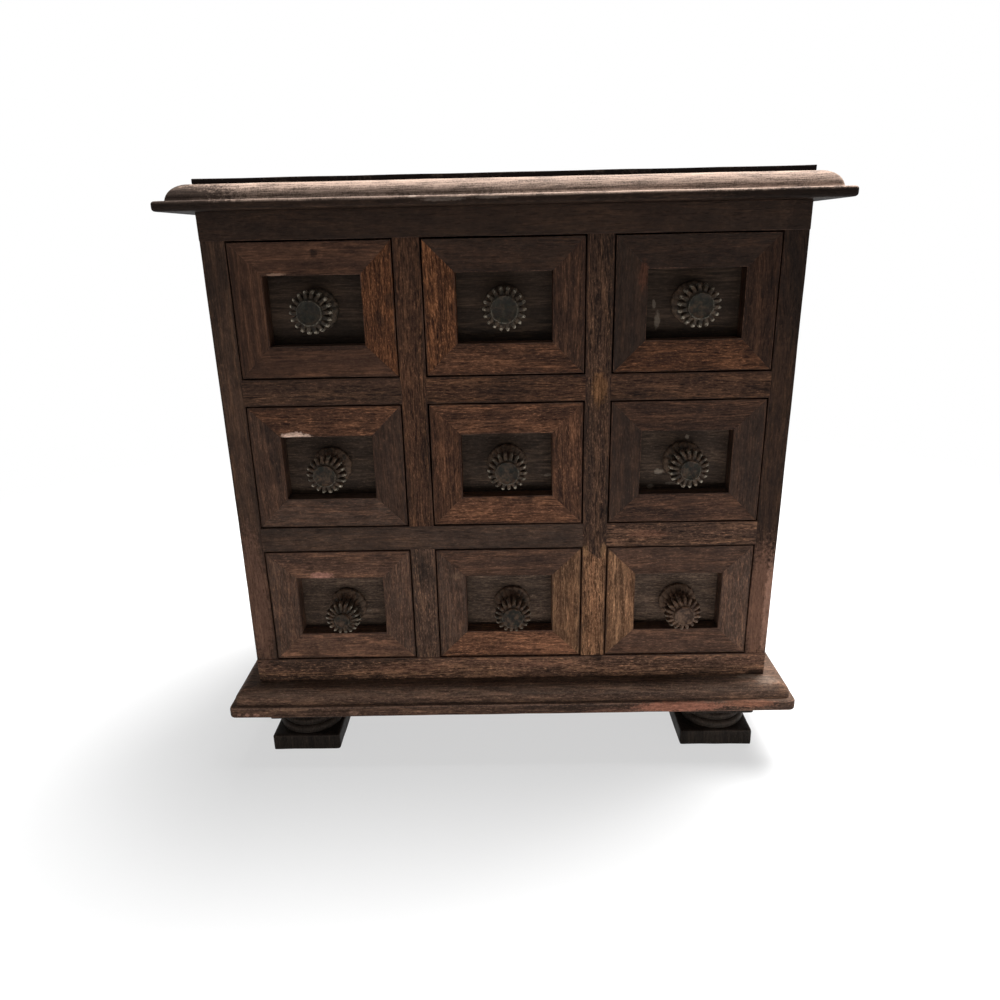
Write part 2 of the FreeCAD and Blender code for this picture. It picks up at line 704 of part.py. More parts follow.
for start, length, level in (
    ("-Layout.outer_opening_edge", "Sizes.opening_width", 1),
    ("-Layout.half_opening_width", "Sizes.opening_width", 1),
    ("Layout.muntin_outer", "Sizes.opening_width", 1),
    ("-Layout.outer_opening_edge", "Layout.pitch_x + Sizes.opening_width", 0),
    ("Layout.muntin_outer", "Sizes.opening_width", 0),
):
    cross_rails.append(box("cross_rail", length, "Sizes.frame_depth", "Sizes.cross_rail_height", start,
                           "Layout.front", "Layout.lower_cross_rail_bottom + %d * Layout.pitch_z" % level))
nodes["cross_rails"] = group("cross_rail_pieces", cross_rails)

# The drawers: each piece is made once round the middle of a drawer's front face, and then
# stands in all nine places.
strips = make_strips()
box_sides = make_box()
box_bottom_board = box("drawer_bottom_board", "Layout.box_width", "Layout.box_depth",
                       "Sizes.drawer_bottom_thickness", "-Layout.box_half_width",
                       "Layout.box_front", "Layout.box_bottom")
knob = make_knob()
knob.Placement = Placement(Vector(0, 0, 0), Rotation(Vector(1, 0, 0), 90))
place(knob, y="Sizes.strip_thickness")
nut = make_nut()
for row in ("top", "middle", "bottom"):
    panel = make_front_panel(row)
    for column in ("left", "centre", "right"):
        drawer = "%s_%s_" % (row, column)
        parts = {
            "front_panel": [panel],
            "front_strips": [strips],
            "box": box_sides,
            "bottom": [box_bottom_board],
            "knob": [knob, nut],
        }
        for piece, shapes in parts.items():
            node = group("drawer_" + drawer + piece, shapes)
            across = "Layout.column_" + column
            up = "Layout.row_" + row
            if piece == "knob":
                across += " + Layout.knob_x_" + row
                up += " + Layout.knob_z_" + row
            nodes[drawer + piece] = place(node, across, "Layout.front", up)

doc.recompute()
failed = [item.Name for item in doc.Objects if {"Invalid", "Error"} & set(item.State)]
if failed:
    raise RuntimeError("these objects did not compute: " + ", ".join(failed))
for name, node in nodes.items():
    node.Label = name
    if node.Shape.isNull() or not node.Shape.isValid() or not node.Shape.Solids:
        raise RuntimeError(name + " has no valid solid")

os.makedirs("parts", exist_ok=True)
for name, node in nodes.items():
    node.Shape.exportStep("parts/" + name + ".step")
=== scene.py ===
import math
import random

import bmesh
import bpy
import numpy as np
from mathutils import Matrix, Vector


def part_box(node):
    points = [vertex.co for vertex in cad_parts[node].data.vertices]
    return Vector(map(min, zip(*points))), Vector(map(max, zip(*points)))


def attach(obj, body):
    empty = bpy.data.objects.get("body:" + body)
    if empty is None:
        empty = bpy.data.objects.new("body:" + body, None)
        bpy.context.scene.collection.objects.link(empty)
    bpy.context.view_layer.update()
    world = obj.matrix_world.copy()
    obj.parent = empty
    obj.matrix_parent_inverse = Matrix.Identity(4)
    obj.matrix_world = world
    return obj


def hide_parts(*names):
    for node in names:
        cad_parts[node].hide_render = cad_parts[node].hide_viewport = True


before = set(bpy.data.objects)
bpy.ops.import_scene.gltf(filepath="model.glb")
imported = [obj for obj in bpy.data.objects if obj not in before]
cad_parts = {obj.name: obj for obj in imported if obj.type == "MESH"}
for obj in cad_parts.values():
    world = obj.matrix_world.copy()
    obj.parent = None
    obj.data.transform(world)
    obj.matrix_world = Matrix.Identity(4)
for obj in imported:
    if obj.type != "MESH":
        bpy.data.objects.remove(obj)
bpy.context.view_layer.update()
scene = bpy.context.scene
scene.view_settings.view_transform = "Standard"

# --- Where the chest stands -------------------------------------------------------------
# The chest stands on a plain pale floor under a soft white sky. The camera is half a metre
# before it at the height of its top rail, and looks down at the drawers.
camera_place = (0.00075, -0.48728, 0.29911)
camera_turns = {"Z": 0.715, "X": -18.86, "Y": 1.143}
camera_lens = 27.43
sky_strength = 0.12
floor_reach = 5.0
floor_grey = 0.84
shadow_reach = (0.22, 0.8)
shadow_share = 0.6


def placed(name, data):
    """A new object, put in the scene."""
    item = bpy.data.objects.new(name, data)
    scene.collection.objects.link(item)
    return item


camera = placed("camera", bpy.data.cameras.new("camera"))
camera.data.lens = camera_lens
camera.data.clip_start = 0.01
aim = Matrix.Translation(camera_place)
for axis, turn in camera_turns.items():
    aim = aim @ Matrix.Rotation(math.radians(turn), 4, axis)
camera.matrix_world = aim @ Matrix.Rotation(math.pi / 2, 4, "X")
scene.camera = camera


def linear(finish):
    """A finish as the eye sees it, from 0 to 255, in the units that shaders use."""
    shares = [value / 255 for value in finish]
    return tuple(s / 12.92 if s <= 0.04045 else ((s + 0.055) / 1.055) ** 2.4 for s in shares) + (1,)


class Web:
    """The nodes of one tree, with short ways to add to them. Most ways give an output."""

    def __init__(self, tree):
        self.tree = tree

    def fill(self, item, sockets):
        """Link outputs to a node's sockets, or set the sockets, by name or number."""
        for name, value in dict(sockets).items():
            if isinstance(value, bpy.types.NodeSocket):
                self.tree.links.new(value, item.inputs[name])
            else:
                item.inputs[name].default_value = value

    def put(self, kind, sockets=(), **settings):
        """Add a node, set its properties and fill its sockets."""
        item = self.tree.nodes.new(kind if "Node" in kind else "ShaderNode" + kind)
        for name, value in settings.items():
            setattr(item, name, value)
        self.fill(item, sockets)
        return item

    def maths(self, operation, first, second=0.5, third=0.5, clamp=False):
        values = {0: first, 1: second, 2: third}
        return self.put("Math", values, operation=operation, use_clamp=clamp).outputs[0]

    def times(self, first, second, clamp=False):
        return self.maths("MULTIPLY", first, second, clamp=clamp)

    def line(self, value, slope, start, clamp=False):
        """A value times a slope, plus a start."""
        return self.maths("MULTIPLY_ADD", value, slope, start, clamp)

    def vectors(self, operation, first, second=(0, 0, 0), scale=1.0):
        item = self.put("VectorMath", {0: first, 1: second, 3: scale}, operation=operation)
        return item.outputs["Value" if operation == "LENGTH" else "Vector"]

    def rising(self, value, low, high, start=0.0):
        """A value that goes smoothly from a start, at low, to 1, at high."""
        sockets = {"Value": value, "From Min": low, "From Max": high, "To Min": start}
        return self.put("MapRange", sockets, interpolation_type="SMOOTHSTEP").outputs[0]

    def cloudy(self, vector, scale, detail=2.0, roughness=0.5):
        sockets = {"Vector": vector, "Scale": scale, "Detail": detail, "Roughness": roughness}
        return self.put("TexNoise", sockets).outputs["Fac"]

    def streaky(self, vector, along, scale, detail=2.0, roughness=0.5, offset=0.0):
        """Clouds that are drawn out long and thin with the grain."""
        sockets = {"Vector": vector, "Scale": (along, 1, 1), "Location": (offset,) * 3}
        return self.cloudy(self.put("Mapping", sockets).outputs[0], scale, detail, roughness)

    def blended(self, share, first, second):
        """A mix of two colours. One that is given by three numbers is a finish."""
        first, second = (linear(value) if isinstance(value, tuple) and len(value) == 3 else value
                         for value in (first, second))
        return self.put("Mix", {0: share, 6: first, 7: second}, data_type="RGBA").outputs[2]

    def use(self, group, **sockets):
        """Put a shader group in, with its inputs by name."""
        return self.put("Group", sockets, node_tree=group).outputs

    def apart(self, vector):
        return self.put("SeparateXYZ", {0: vector}).outputs

    def mark(self, name, output="Fac"):
        """What a mesh keeps for each point under a name."""
        return self.put("Attribute", attribute_name=name).outputs[output]

    def object_place(self):
        return self.put("TexCoord").outputs["Object"]

    def upward(self):
        """How far a face looks up."""
        return self.apart(self.put("NewGeometry").outputs["Normal"])[2]

    def seen_directly(self):
        """1 for what the camera, a reflection or glass looks at, and 0 for what only lights."""
        path = self.put("LightPath").outputs
        seen = self.maths("MAXIMUM", path["Is Camera Ray"], path["Is Glossy Ray"])
        return self.maths("MAXIMUM", seen, path["Is Transmission Ray"])


def new_material(name):
    """A material, its nodes and its Principled shader."""
    material = bpy.data.materials.new(name)
    material.use_nodes = True
    return material, Web(material.node_tree), material.node_tree.nodes["Principled BSDF"]


def lamp(name, place, target, sides, power):
    """A soft box, with sides of two lengths, that shines from its place at a target."""
    light = bpy.data.lights.new(name, "AREA")
    light.shape = "RECTANGLE"
    light.size, light.size_y = sides
    light.energy = power
    stand = placed(name, light)
    stand.location = place
    stand.rotation_euler = (Vector(target) - Vector(place)).to_track_quat("-Z", "Y").to_euler()
    stand.visible_camera = False


sky = bpy.data.worlds.new("sky")
sky.use_nodes = True
sky.node_tree.nodes.clear()
web = Web(sky.node_tree)
sky_level = web.line(web.seen_directly(), 1 - sky_strength, sky_strength)
sky_light = web.put("Background", {"Color": (1, 1, 1, 1), "Strength": sky_level})
web.put("OutputWorld", {"Surface": sky_light.outputs[0]})
scene.world = sky

lamp("overhead", (0.4, 0.42, 1.5), (0.05, 0, 0), (1.0, 1.0), 90.0)
lamp("low_before_the_chest", (0.1, -0.48, 0.03), (0.03, -0.09, 0.05), (0.7, 0.08), 0.7)

floor_mesh = bpy.data.meshes.new("floor")
corners = [(x * floor_reach, y * floor_reach, 0) for x, y in ((-1, -1), (1, -1), (1, 1), (-1, 1))]
floor_mesh.from_pydata(corners, [], [(0, 1, 2, 3)])
floor = placed("floor", floor_mesh)
paper, web, sheet = new_material("floor_paper")
web.fill(sheet, {"Base Color": (floor_grey, floor_grey, floor_grey, 1), "Roughness": 0.9})
glow = web.put("Emission", {"Color": (1, 1, 1, 1), "Strength": 1.0})
far = web.rising(web.vectors("LENGTH", web.object_place()), *shadow_reach, start=shadow_share)
share = web.times(web.seen_directly(), far)
surface = web.put("MixShader", {0: share, 1: sheet.outputs[0], 2: glow.outputs[0]}).outputs[0]
web.put("OutputMaterial", {"Surface": surface}, is_active_output=True)
floor_mesh.materials.append(paper)


# --- Feet -------------------------------------------------------------------------------
# Four feet turned from square blocks of hardwood: a block, two beads and a neck, and a cap that
# is screwed up into the base board. They are stained black, and dull with dust and floor wax.
def ripple(points, length, chance, waves=5):
    """An uneven field, mostly from -1 to 1, whose bumps are about this long."""
    total = np.zeros(len(points))
    for _ in range(waves):
        direction = np.array([chance.gauss(0, 1) for _ in range(3)])
        direction *= chance.uniform(0.6, 1.5) * 2 * math.pi / (length * np.linalg.norm(direction))
        total += np.sin(points @ direction + chance.uniform(0, 2 * math.pi))
    return total / (1.3 * waves ** 0.5)


def tone(gold=0.0, shade=0.5, figure=0.5):
    """How a board looks: honey (1), red-gold (0.5), brown (0) or grey (-1), how light, how lively."""
    return gold, shade, figure


def closed_tube(rings, around):
    """The faces over rings of points, with a cap at both ends."""
    faces = [[i * around + j, i * around + (j + 1) % around, (i + 1) * around + (j + 1) % around,
              (i + 1) * around + j] for i in range(rings - 1) for j in range(around)]
    return faces + [list(range(around))[::-1], [(rings - 1) * around + j for j in range(around)]]


def settle(mesh, body, slot, *nodes):
    """Make a mesh a piece that moves with a body, and let it stand for CAD nodes."""
    piece = placed(mesh.name, mesh)
    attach(piece, body)
    if nodes:
        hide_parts(*nodes)


sharp_angle = math.radians(50)
arris_wave, sag_wave = 0.024, 0.07
thinnest, second_row = 0.009, 0.0013


class Joinery:
    """The wooden parts of one assembly, gathered in one mesh.

    Each point keeps its place in the log (grain), its board's tone, and how far it is from the
    nearest arris (rim), so that figure, stain and wear follow the boards.
    """

    def __init__(self, name, seed):
        self.name = name
        self.chance = random.Random(seed)
        self.points, self.faces = [], []
        self.marks = {"grain": [], "tone": [], "rim": []}
        self.count = 0

    def add(self, points, faces, local, along, board_tone, rim):
        """Keep some points and faces, with their place in a log that runs along an axis."""
        order = [along] + [axis for axis in range(3) if axis != along]
        log = local[:, order]
        log[:, 1] += math.tan(math.radians(self.chance.gauss(0, 1.5))) * log[:, 0]
        log += [self.chance.uniform(0, 9) for _ in range(3)]
        self.marks["grain"].append(log)
        self.marks["tone"].append(np.tile(board_tone, (len(points), 1)))
        self.marks["rim"].append(rim)
        self.points.append(points)
        self.faces += [[index + self.count for index in face] for face in faces]
        self.count += len(points)

    def board(self, low, high, along, board_tone, soft=0.7, shape=None, cuts=(),
              step=0.011, wander=0.00012):
        """One board between two corners, its grain along an axis, with its arrises softened.

        soft is how many millimetres an arris is rounded by, or is given for each axis. cuts are
        (axis, place) pairs where the board needs extra rows of points, and shape bends the points,
        which it gets in metres from the low corner, with the board's size.
        """
        low = np.array(low, float)
        size = np.array(high, float) - low
        radii = np.minimum(np.array(soft) * 0.001, 0.4 * size)
        rows = [self.rows(size[axis], radii[axis], step, [
            place - low[axis] for cut_axis, place in cuts if cut_axis == axis]) for axis in range(3)]
        grid = np.stack(np.meshgrid(*rows, indexing="ij"), -1)
        outside = np.zeros(grid.shape[:3], bool)
        for axis in range(3):
            for side in (0, -1):
                outside[(slice(None),) * axis + (side,)] = True
        number = np.cumsum(outside).reshape(outside.shape) - 1
        faces = []
        for axis in range(3):
            for side in (0, -1):
                ids = number.take(side, axis)
                quads = np.stack([ids[:-1, :-1], ids[1:, :-1], ids[1:, 1:], ids[:-1, 1:]], -1)
                quads = quads.reshape(-1, 4)
                faces += (quads if (side == -1) != (axis == 1) else quads[:, ::-1]).tolist()
        points = grid[outside]
        depth = np.minimum(points, size - points)
        rim = depth[:, [axis for axis in range(3) if axis != along]].max(1)
        inward = (points < 1e-9).astype(float) - (points > size - 1e-9)
        radius = radii * (0.7 + 0.3 * ripple(points + low, arris_wave, self.chance).clip(-1, 1))[:, None]
        inner = np.clip(points, radius, size - radius)
        away = (points - inner) / radius
        reach = np.linalg.norm(away, axis=1, keepdims=True)
        points = inner + np.where(reach > 1, away / np.maximum(reach, 1e-9), away) * radius
        sag = np.stack([ripple(points + low, sag_wave, self.chance) for _ in range(3)], 1)
        points = points + inward * wander * (0.8 + 0.8 * sag).clip(0, 1.6)
        if shape:
            shape(points, size)
        self.add(points + low, faces, points, along, board_tone, rim)

    def rows(self, span, soft, step, cuts):
        """Where a board's rows of points lie along one axis."""
        near = [0, 0.35 * soft, soft]
        if span > thinnest:
            near.append(soft + second_row)
        first, last = near[-1], span - near[-1]
        number = max(1, round((last - first) / step))
        places = near + [span - place for place in near] + list(cuts)
        places += [first + (last - first) * index / number for index in range(1, number)]
        kept = []
        for place in sorted(places):
            if not kept or place - kept[-1] > 1e-5:
                kept.append(place)
        return np.array(kept)

    def turning(self, centre, profile, board_tone, sides=56):
        """A turned upright part, from its profile as (radius, height) pairs."""
        angles = np.linspace(0, 2 * math.pi, sides, endpoint=False)
        ring = np.stack([np.cos(angles), np.sin(angles)], 1)
        points = np.concatenate([
            np.column_stack([ring * radius, np.full(sides, height)]) for radius, height in profile])
        points[:, :2] *= 1 - 0.006 * np.abs(ripple(points + centre, 0.02, self.chance))[:, None]
        self.add(points + np.array(centre), closed_tube(len(profile), sides), points, 2, board_tone,
                 np.full(len(points), 0.01))

    def finished(self, material, body, slot, *nodes):
        """Turn the parts into one piece that stands for its CAD nodes."""
        mesh = bpy.data.meshes.new(self.name)
        mesh.from_pydata(np.concatenate(self.points).tolist(), [], self.faces)
        for name, parts in self.marks.items():
            values = np.concatenate(parts).astype(np.float32)
            kind, field = ("FLOAT", "value") if values.ndim == 1 else ("FLOAT_VECTOR", "vector")
            mesh.attributes.new(name, kind, "POINT").data.foreach_set(field, values.ravel())
        mesh.set_sharp_from_angle(angle=sharp_angle)
        mesh.materials.append(material)
        settle(mesh, body, slot, *nodes)


def lone_board(name, seed, node, along, board_tone, finish, body, slot, **options):
    """A piece that is one board, between its CAD node's own corners."""
    joinery = Joinery(name, seed)
    joinery.board(*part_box(node), along, board_tone, **options)
    joinery.finished(finish, body, slot, node)


def new_group(name, kind, inputs, outputs):
    """An empty node group with named sockets: its nodes, what comes in, and its output node.

    An input is given by its value, or by its kind if it starts empty.
    """
    tree = bpy.data.node_groups.new(name, kind)
    for title, value in inputs.items():
        known = {float: "Float", int: "Int", str: value, tuple: "Vector"}[type(value)]
        known = "Color" if known == "Vector" and len(value) == 4 else known
        socket = tree.interface.new_socket(
            title, in_out="INPUT", socket_type="NodeSocket" + known)
        if not isinstance(value, str):
            socket.default_value = value
    for title, known in outputs.items():
        tree.interface.new_socket(title, in_out="OUTPUT", socket_type="NodeSocket" + known)
    web = Web(tree)
    return web, web.put("NodeGroupInput").outputs, web.put("NodeGroupOutput")


def hardwood_group():
    """Growth bands, fibres, open pores and flecks of a coarse hardwood, in the log's coordinates."""
    web, given, result = new_group("hardwood", "ShaderNodeTree", {
        "Grain": (0, 0, 0), "Deep": (0.02, 0.01, 0.01, 1), "Plain": (0.06, 0.03, 0.02, 1),
        "Bright": (0.12, 0.06, 0.03, 1), "Pores": 0.6, "Stain": 0.5, "Figure": 0.5,
    }, {"Color": "Color", "Height": "Float", "Gloss": "Float", "Level": "Float"})
    grain, figure = given["Grain"], given["Figure"]
    drift = web.line(web.streaky(grain, 0.18, 38.0, 1.0), 0.012, -0.006)
    wavy = web.vectors("ADD", grain, web.put("CombineXYZ", {1: drift, 2: drift}).outputs[0])
    bands = web.streaky(wavy, 0.06, 210.0, 3.0, 0.6)
    broad = web.streaky(wavy, 0.1, 60.0, offset=3.0)
    split = web.apart(wavy)
    ring = web.line(split[2], 0.5, web.line(split[0], 0.03, split[1]))
    ring = web.maths("PINGPONG", web.times(web.line(bands, 0.004, ring), 300.0), 1.0)
    fibres = web.streaky(wavy, 0.07, 900.0, 2.0, 0.65)
    open_pores = web.rising(web.streaky(wavy, 0.12, 1450.0, 1.0, offset=7.0), 0.57, 0.68)
    grit = web.streaky(grain, 0.35, 1250.0, 3.0, 0.8, 2.0)
    light = web.line(web.rising(bands, 0.3, 0.75), 0.5, web.times(web.rising(broad, 0.3, 0.7), 0.5))
    colour = web.blended(light, given["Deep"], given["Plain"])
    shine = web.times(web.times(ring, web.rising(fibres, 0.3, 0.85)), 0.7)
    colour = web.blended(shine, colour, given["Bright"])
    fleck = web.times(web.rising(grit, 0.5, 0.8), figure)
    colour = web.blended(fleck, colour, given["Bright"])
    patch = web.rising(web.cloudy(grain, 42.0, 3.0, 0.6), 0.5, 0.75)
    colour = web.blended(web.times(patch, given["Stain"]), colour, given["Deep"])
    crack = web.maths("SUBTRACT", web.streaky(wavy, 0.02, 420.0, 2.0, 0.6, 9.0), 0.5)
    crack = web.rising(web.maths("ABSOLUTE", crack), 0.018, 0.004)
    crack = web.times(crack, web.maths("SUBTRACT", figure, 0.45, clamp=True))
    sunk = web.maths("MAXIMUM", web.times(open_pores, given["Pores"]), crack)
    sunk = web.times(sunk, figure, clamp=True)
    colour = web.blended(sunk, colour, (13, 10, 9))
    swing = web.line(fibres, 0.6, web.maths("ADD", grit, -0.8))
    level = web.line(swing, web.times(figure, 3.0), 1.0)
    height = web.line(fibres, 0.5, web.times(bands, 0.4))
    web.fill(result, {
        "Color": web.vectors("SCALE", colour, scale=level),
        "Height": web.maths("SUBTRACT", height, web.times(sunk, 0.8)),
        "Gloss": web.line(fibres, 0.25, web.times(open_pores, 0.2)),
        "Level": web.times(level, web.line(sunk, -0.7, 1.0))})
    return web.tree


def wear_group():
    """Where an arris is rubbed, where grime stays beside it, and where painted shade right at the arris
    widens the dark gaps between parts.
    """
    web, given, result = new_group("wear", "ShaderNodeTree", {
        "Rim": 0.0, "Place": (0, 0, 0), "Width": 0.0013, "Amount": 0.5,
    }, {"Rubbed": "Float", "GrimeAndGapShade": "Float"})
    rim, place = given["Rim"], given["Place"]
    coarse = web.cloudy(place, 85.0, 3.0, 0.7)
    uneven = web.line(web.cloudy(place, 700.0, 2.0, 0.6), 0.6, coarse)
    width = web.times(given["Width"], web.rising(uneven, 0.6, 1.15))
    near = web.maths("DIVIDE", rim, web.maths("MAXIMUM", width, 0.00002))
    grime = web.times(web.rising(rim, 0.006, 0.0005), web.rising(coarse, 0.4, 0.65))
    # Painted shade: right at each arris the wood is darkened, so that the gaps between parts look wider and
    # darker.
    corner = web.times(web.rising(rim, 0.0011, 0.0003), web.rising(uneven, 0.5, 0.9))
    web.fill(result, {
        "Rubbed": web.times(web.rising(near, 1.0, 0.2), given["Amount"], clamp=True),
        "GrimeAndGapShade": web.maths("MAXIMUM", grime, web.times(corner, 2.0))})
    return web.tree


def dust_group():
    """Pale dust on whatever faces up."""
    web, given, result = new_group("dust", "ShaderNodeTree", {
        "Place": (0, 0, 0), "Grain": (0, 0, 0), "Amount": 0.5,
    }, {"Mask": "Float"})
    place = given["Place"]
    coarse = web.rising(web.cloudy(place, 60.0, 4.0, 0.7), 0.3, 0.7)
    streaks = web.rising(web.streaky(given["Grain"], 0.05, 1100.0, 3.0, 0.7), 0.36, 0.66)
    specks = web.rising(web.cloudy(place, 1300.0, 3.0, 0.8), 0.35, 0.7)
    film = web.line(specks, 0.45, web.line(streaks, 0.5, web.times(coarse, 0.22)))
    film = web.times(web.rising(web.upward(), 0.02, 0.55), film)
    web.fill(result, {"Mask": web.times(film, given["Amount"], clamp=True)})
    return web.tree


def wear_and_shade_patch_group():
    """A worn or stained place, or a place of painted shade, of a given reach, with ragged edges."""
    web, given, result = new_group("wear_and_shade_patch", "ShaderNodeTree", {
        "Place": (0, 0, 0), "Centre": (0, 0, 0), "Reach": (0.005, 0.005, 0.005), "Strength": 1.0,
    }, {"Mask": "Float"})
    away = web.vectors("SUBTRACT", given["Place"], given["Centre"])
    away = web.vectors("LENGTH", web.vectors("DIVIDE", away, given["Reach"]))
    ragged = web.cloudy(given["Place"], 520.0, 4.0, 0.75)
    away = web.line(ragged, 1.6, web.maths("SUBTRACT", away, 0.8))
    web.fill(result, {"Mask": web.times(web.rising(away, 1.0, 0.55), given["Strength"])})
    return web.tree


hardwood, wear, dust, wear_and_shade_patch = hardwood_group(), wear_group(), dust_group(), wear_and_shade_patch_group()
# A near-black for grime and for the painted shade in the gaps, and a grey for bloom.
grime_and_gap_shade_black, bloom_grey = (20, 15, 14), (98, 82, 72)
pore_relief = 0.00025


def timber(name, deep, plain, bright, gold=(), rubbed=(128, 94, 76), rub=0.2, pores=0.6, stain=0.45,
           dusty=0.15, dust_colour=(150, 130, 116), roughness=0.6, grime=0.4, joined=True, wear_and_shade_patches=()):
    """Stained and waxed hardwood. Its finishes are deep, plain and bright.

    gold gives the same three finishes twice, for red-gold and for honey-coloured boards. Joined
    boards bring their own grain and tone. A plain CAD board has its log along X. The patches are
    (centre, reach, finish, strength) of worn and stained places and of painted shade, in millimetres.
    """
    material, web, shader = new_material(name)
    place = web.object_place()
    finishes = [linear(finish) for finish in (deep, plain, bright)]
    grain, level, rim, figure = place, 1.0, 1.0, 0.5
    if joined:
        grain = web.mark("grain", "Vector")
        marks = web.apart(web.mark("tone", "Vector"))
        rim = web.mark("rim")
        level = web.line(marks[1], 1.2, 0.4)
        figure = marks[2]
        for start, lighter in zip((0.0, 0.5), gold):
            share = web.times(web.maths("SUBTRACT", marks[0], start), 2.0, clamp=True)
            finishes = [web.blended(share, dark, light) for dark, light in zip(finishes, lighter)]
    wood = web.use(hardwood, Grain=grain, Deep=finishes[0], Plain=finishes[1], Bright=finishes[2],
                   Pores=pores, Stain=stain, Figure=figure)
    worn = web.use(wear, Rim=rim, Place=place, Amount=rub)
    colour = web.vectors("SCALE", wood["Color"], scale=level)
    if joined:
        grey = web.times(marks[0], -1.0, clamp=True)
        bloom = web.line(web.streaky(grain, 0.4, 420.0, 5.0, 0.75), 0.8, -0.1)
        colour = web.blended(web.times(grey, bloom, clamp=True), colour, bloom_grey)
    # Grime near the arrises and the painted shade right at them darken the colour; grime sets how much.
    colour = web.blended(web.times(worn["GrimeAndGapShade"], grime, clamp=True), colour, grime_and_gap_shade_black)
    colour = web.blended(worn["Rubbed"], colour, rubbed)
    film = web.use(dust, Place=place, Grain=grain, Amount=dusty)["Mask"]
    colour = web.blended(film, colour, dust_colour)
    # Worn and stained patches, and patches of painted shade, are laid over the colour.
    for centre, reach, finish, strength in wear_and_shade_patches:
        centre, reach = Vector(centre) * 0.001, Vector(reach) * 0.001
        mask = web.use(wear_and_shade_patch, Place=place, Centre=centre, Reach=reach, Strength=strength)["Mask"]
        laid = web.vectors("SCALE", linear(finish)[:3], scale=wood["Level"])
        colour = web.blended(mask, colour, laid)
    matt = web.maths("ADD", web.line(film, 0.4, roughness - 0.15), wood["Gloss"], clamp=True)
    bump = web.put("Bump", {"Height": wood["Height"], "Distance": pore_relief, "Strength": 0.9})
    web.fill(shader, {"Base Color": colour, "Roughness": matt, "Normal": bump.outputs[0],
                      "Specular IOR Level": 0.05})
    return material


def arc(centre, radius, start, finish, steps):
    """Points of a bead or hollow in a profile, between two angles in degrees."""
    turns = [math.radians(start + (finish - start) * step / steps) for step in range(steps + 1)]
    return [(centre[0] + radius * math.cos(turn), centre[1] + radius * math.sin(turn))
            for turn in turns]


black_stain = timber("black_stain", (20, 17, 15), (36, 31, 27), (52, 44, 38), rubbed=(92, 74, 64),
                     rub=0.2, dusty=0.1, roughness=0.5, pores=0.4)
foot_low, foot_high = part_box("feet")
foot_side = 0.0415
foot_cut_wider = 0.0024
foot_step = 0.009
block_height, block_soft = 0.0104, (2.4, 2.4, 1.3)
cap_height, cap_soft = 0.0128, (2.2, 2.2, 0.9)
lower_bead, lower_bead_radius = 0.0173, 0.0025
upper_bead, upper_bead_radius = 0.01605, 0.00215
neck_radius, neck_waist, seat_radius = 0.0158, 0.0150, 0.0165
let_in = 0.001

foot_tone = tone(shade=0.95)
feet = Joinery("turned_feet", 11)
cap_bottom = foot_high.z - cap_height
lower_middle = block_height + lower_bead_radius
upper_middle = block_height + 2 * lower_bead_radius + upper_bead_radius
foot_profile = [(seat_radius, block_height - 0.0005)]
foot_profile += arc((lower_bead, lower_middle), lower_bead_radius, -80, 80, 8)
foot_profile += arc((upper_bead, upper_middle), upper_bead_radius, -70, 70, 8)
foot_profile += [(neck_radius - 0.0003, upper_middle + upper_bead_radius + 0.0002),
                 (neck_waist, (upper_middle + cap_bottom) / 2 + 0.001),
                 (neck_radius, cap_bottom + 0.0003)]
for x in (foot_low.x, foot_high.x - foot_side):
    for y in (foot_low.y, foot_high.y - foot_side):
        beyond = x + foot_side, y + foot_side
        wide = foot_cut_wider if x > 0 > y else 0
        feet.board((x - wide, y, 0), (*beyond, block_height), 2, foot_tone, soft=block_soft, step=foot_step)
        feet.turning((x + foot_side / 2, y + foot_side / 2, 0), foot_profile, foot_tone)
        feet.board((x, y, cap_bottom), (*beyond, foot_high.z + let_in), 2, foot_tone, soft=cap_soft,
                   step=foot_step)
feet.finished(black_stain, "cabinet", "foot_wood", "feet")


# --- Base and top boards ----------------------------------------------------------------
# Two wide boards, run round all four edges with a cutter: a rounded edge, a flat ledge and a
# quarter round. Hands and cloths have rubbed them pale, and dust lies in the quarter round. On
# the top board the pale line along the upper arris is also a painted highlight. A thin black
# panel is laid on the top board.
board_edge = 0.0014
board_step = 0.009
underside_reach, crown_reach = 0.03, 0.004


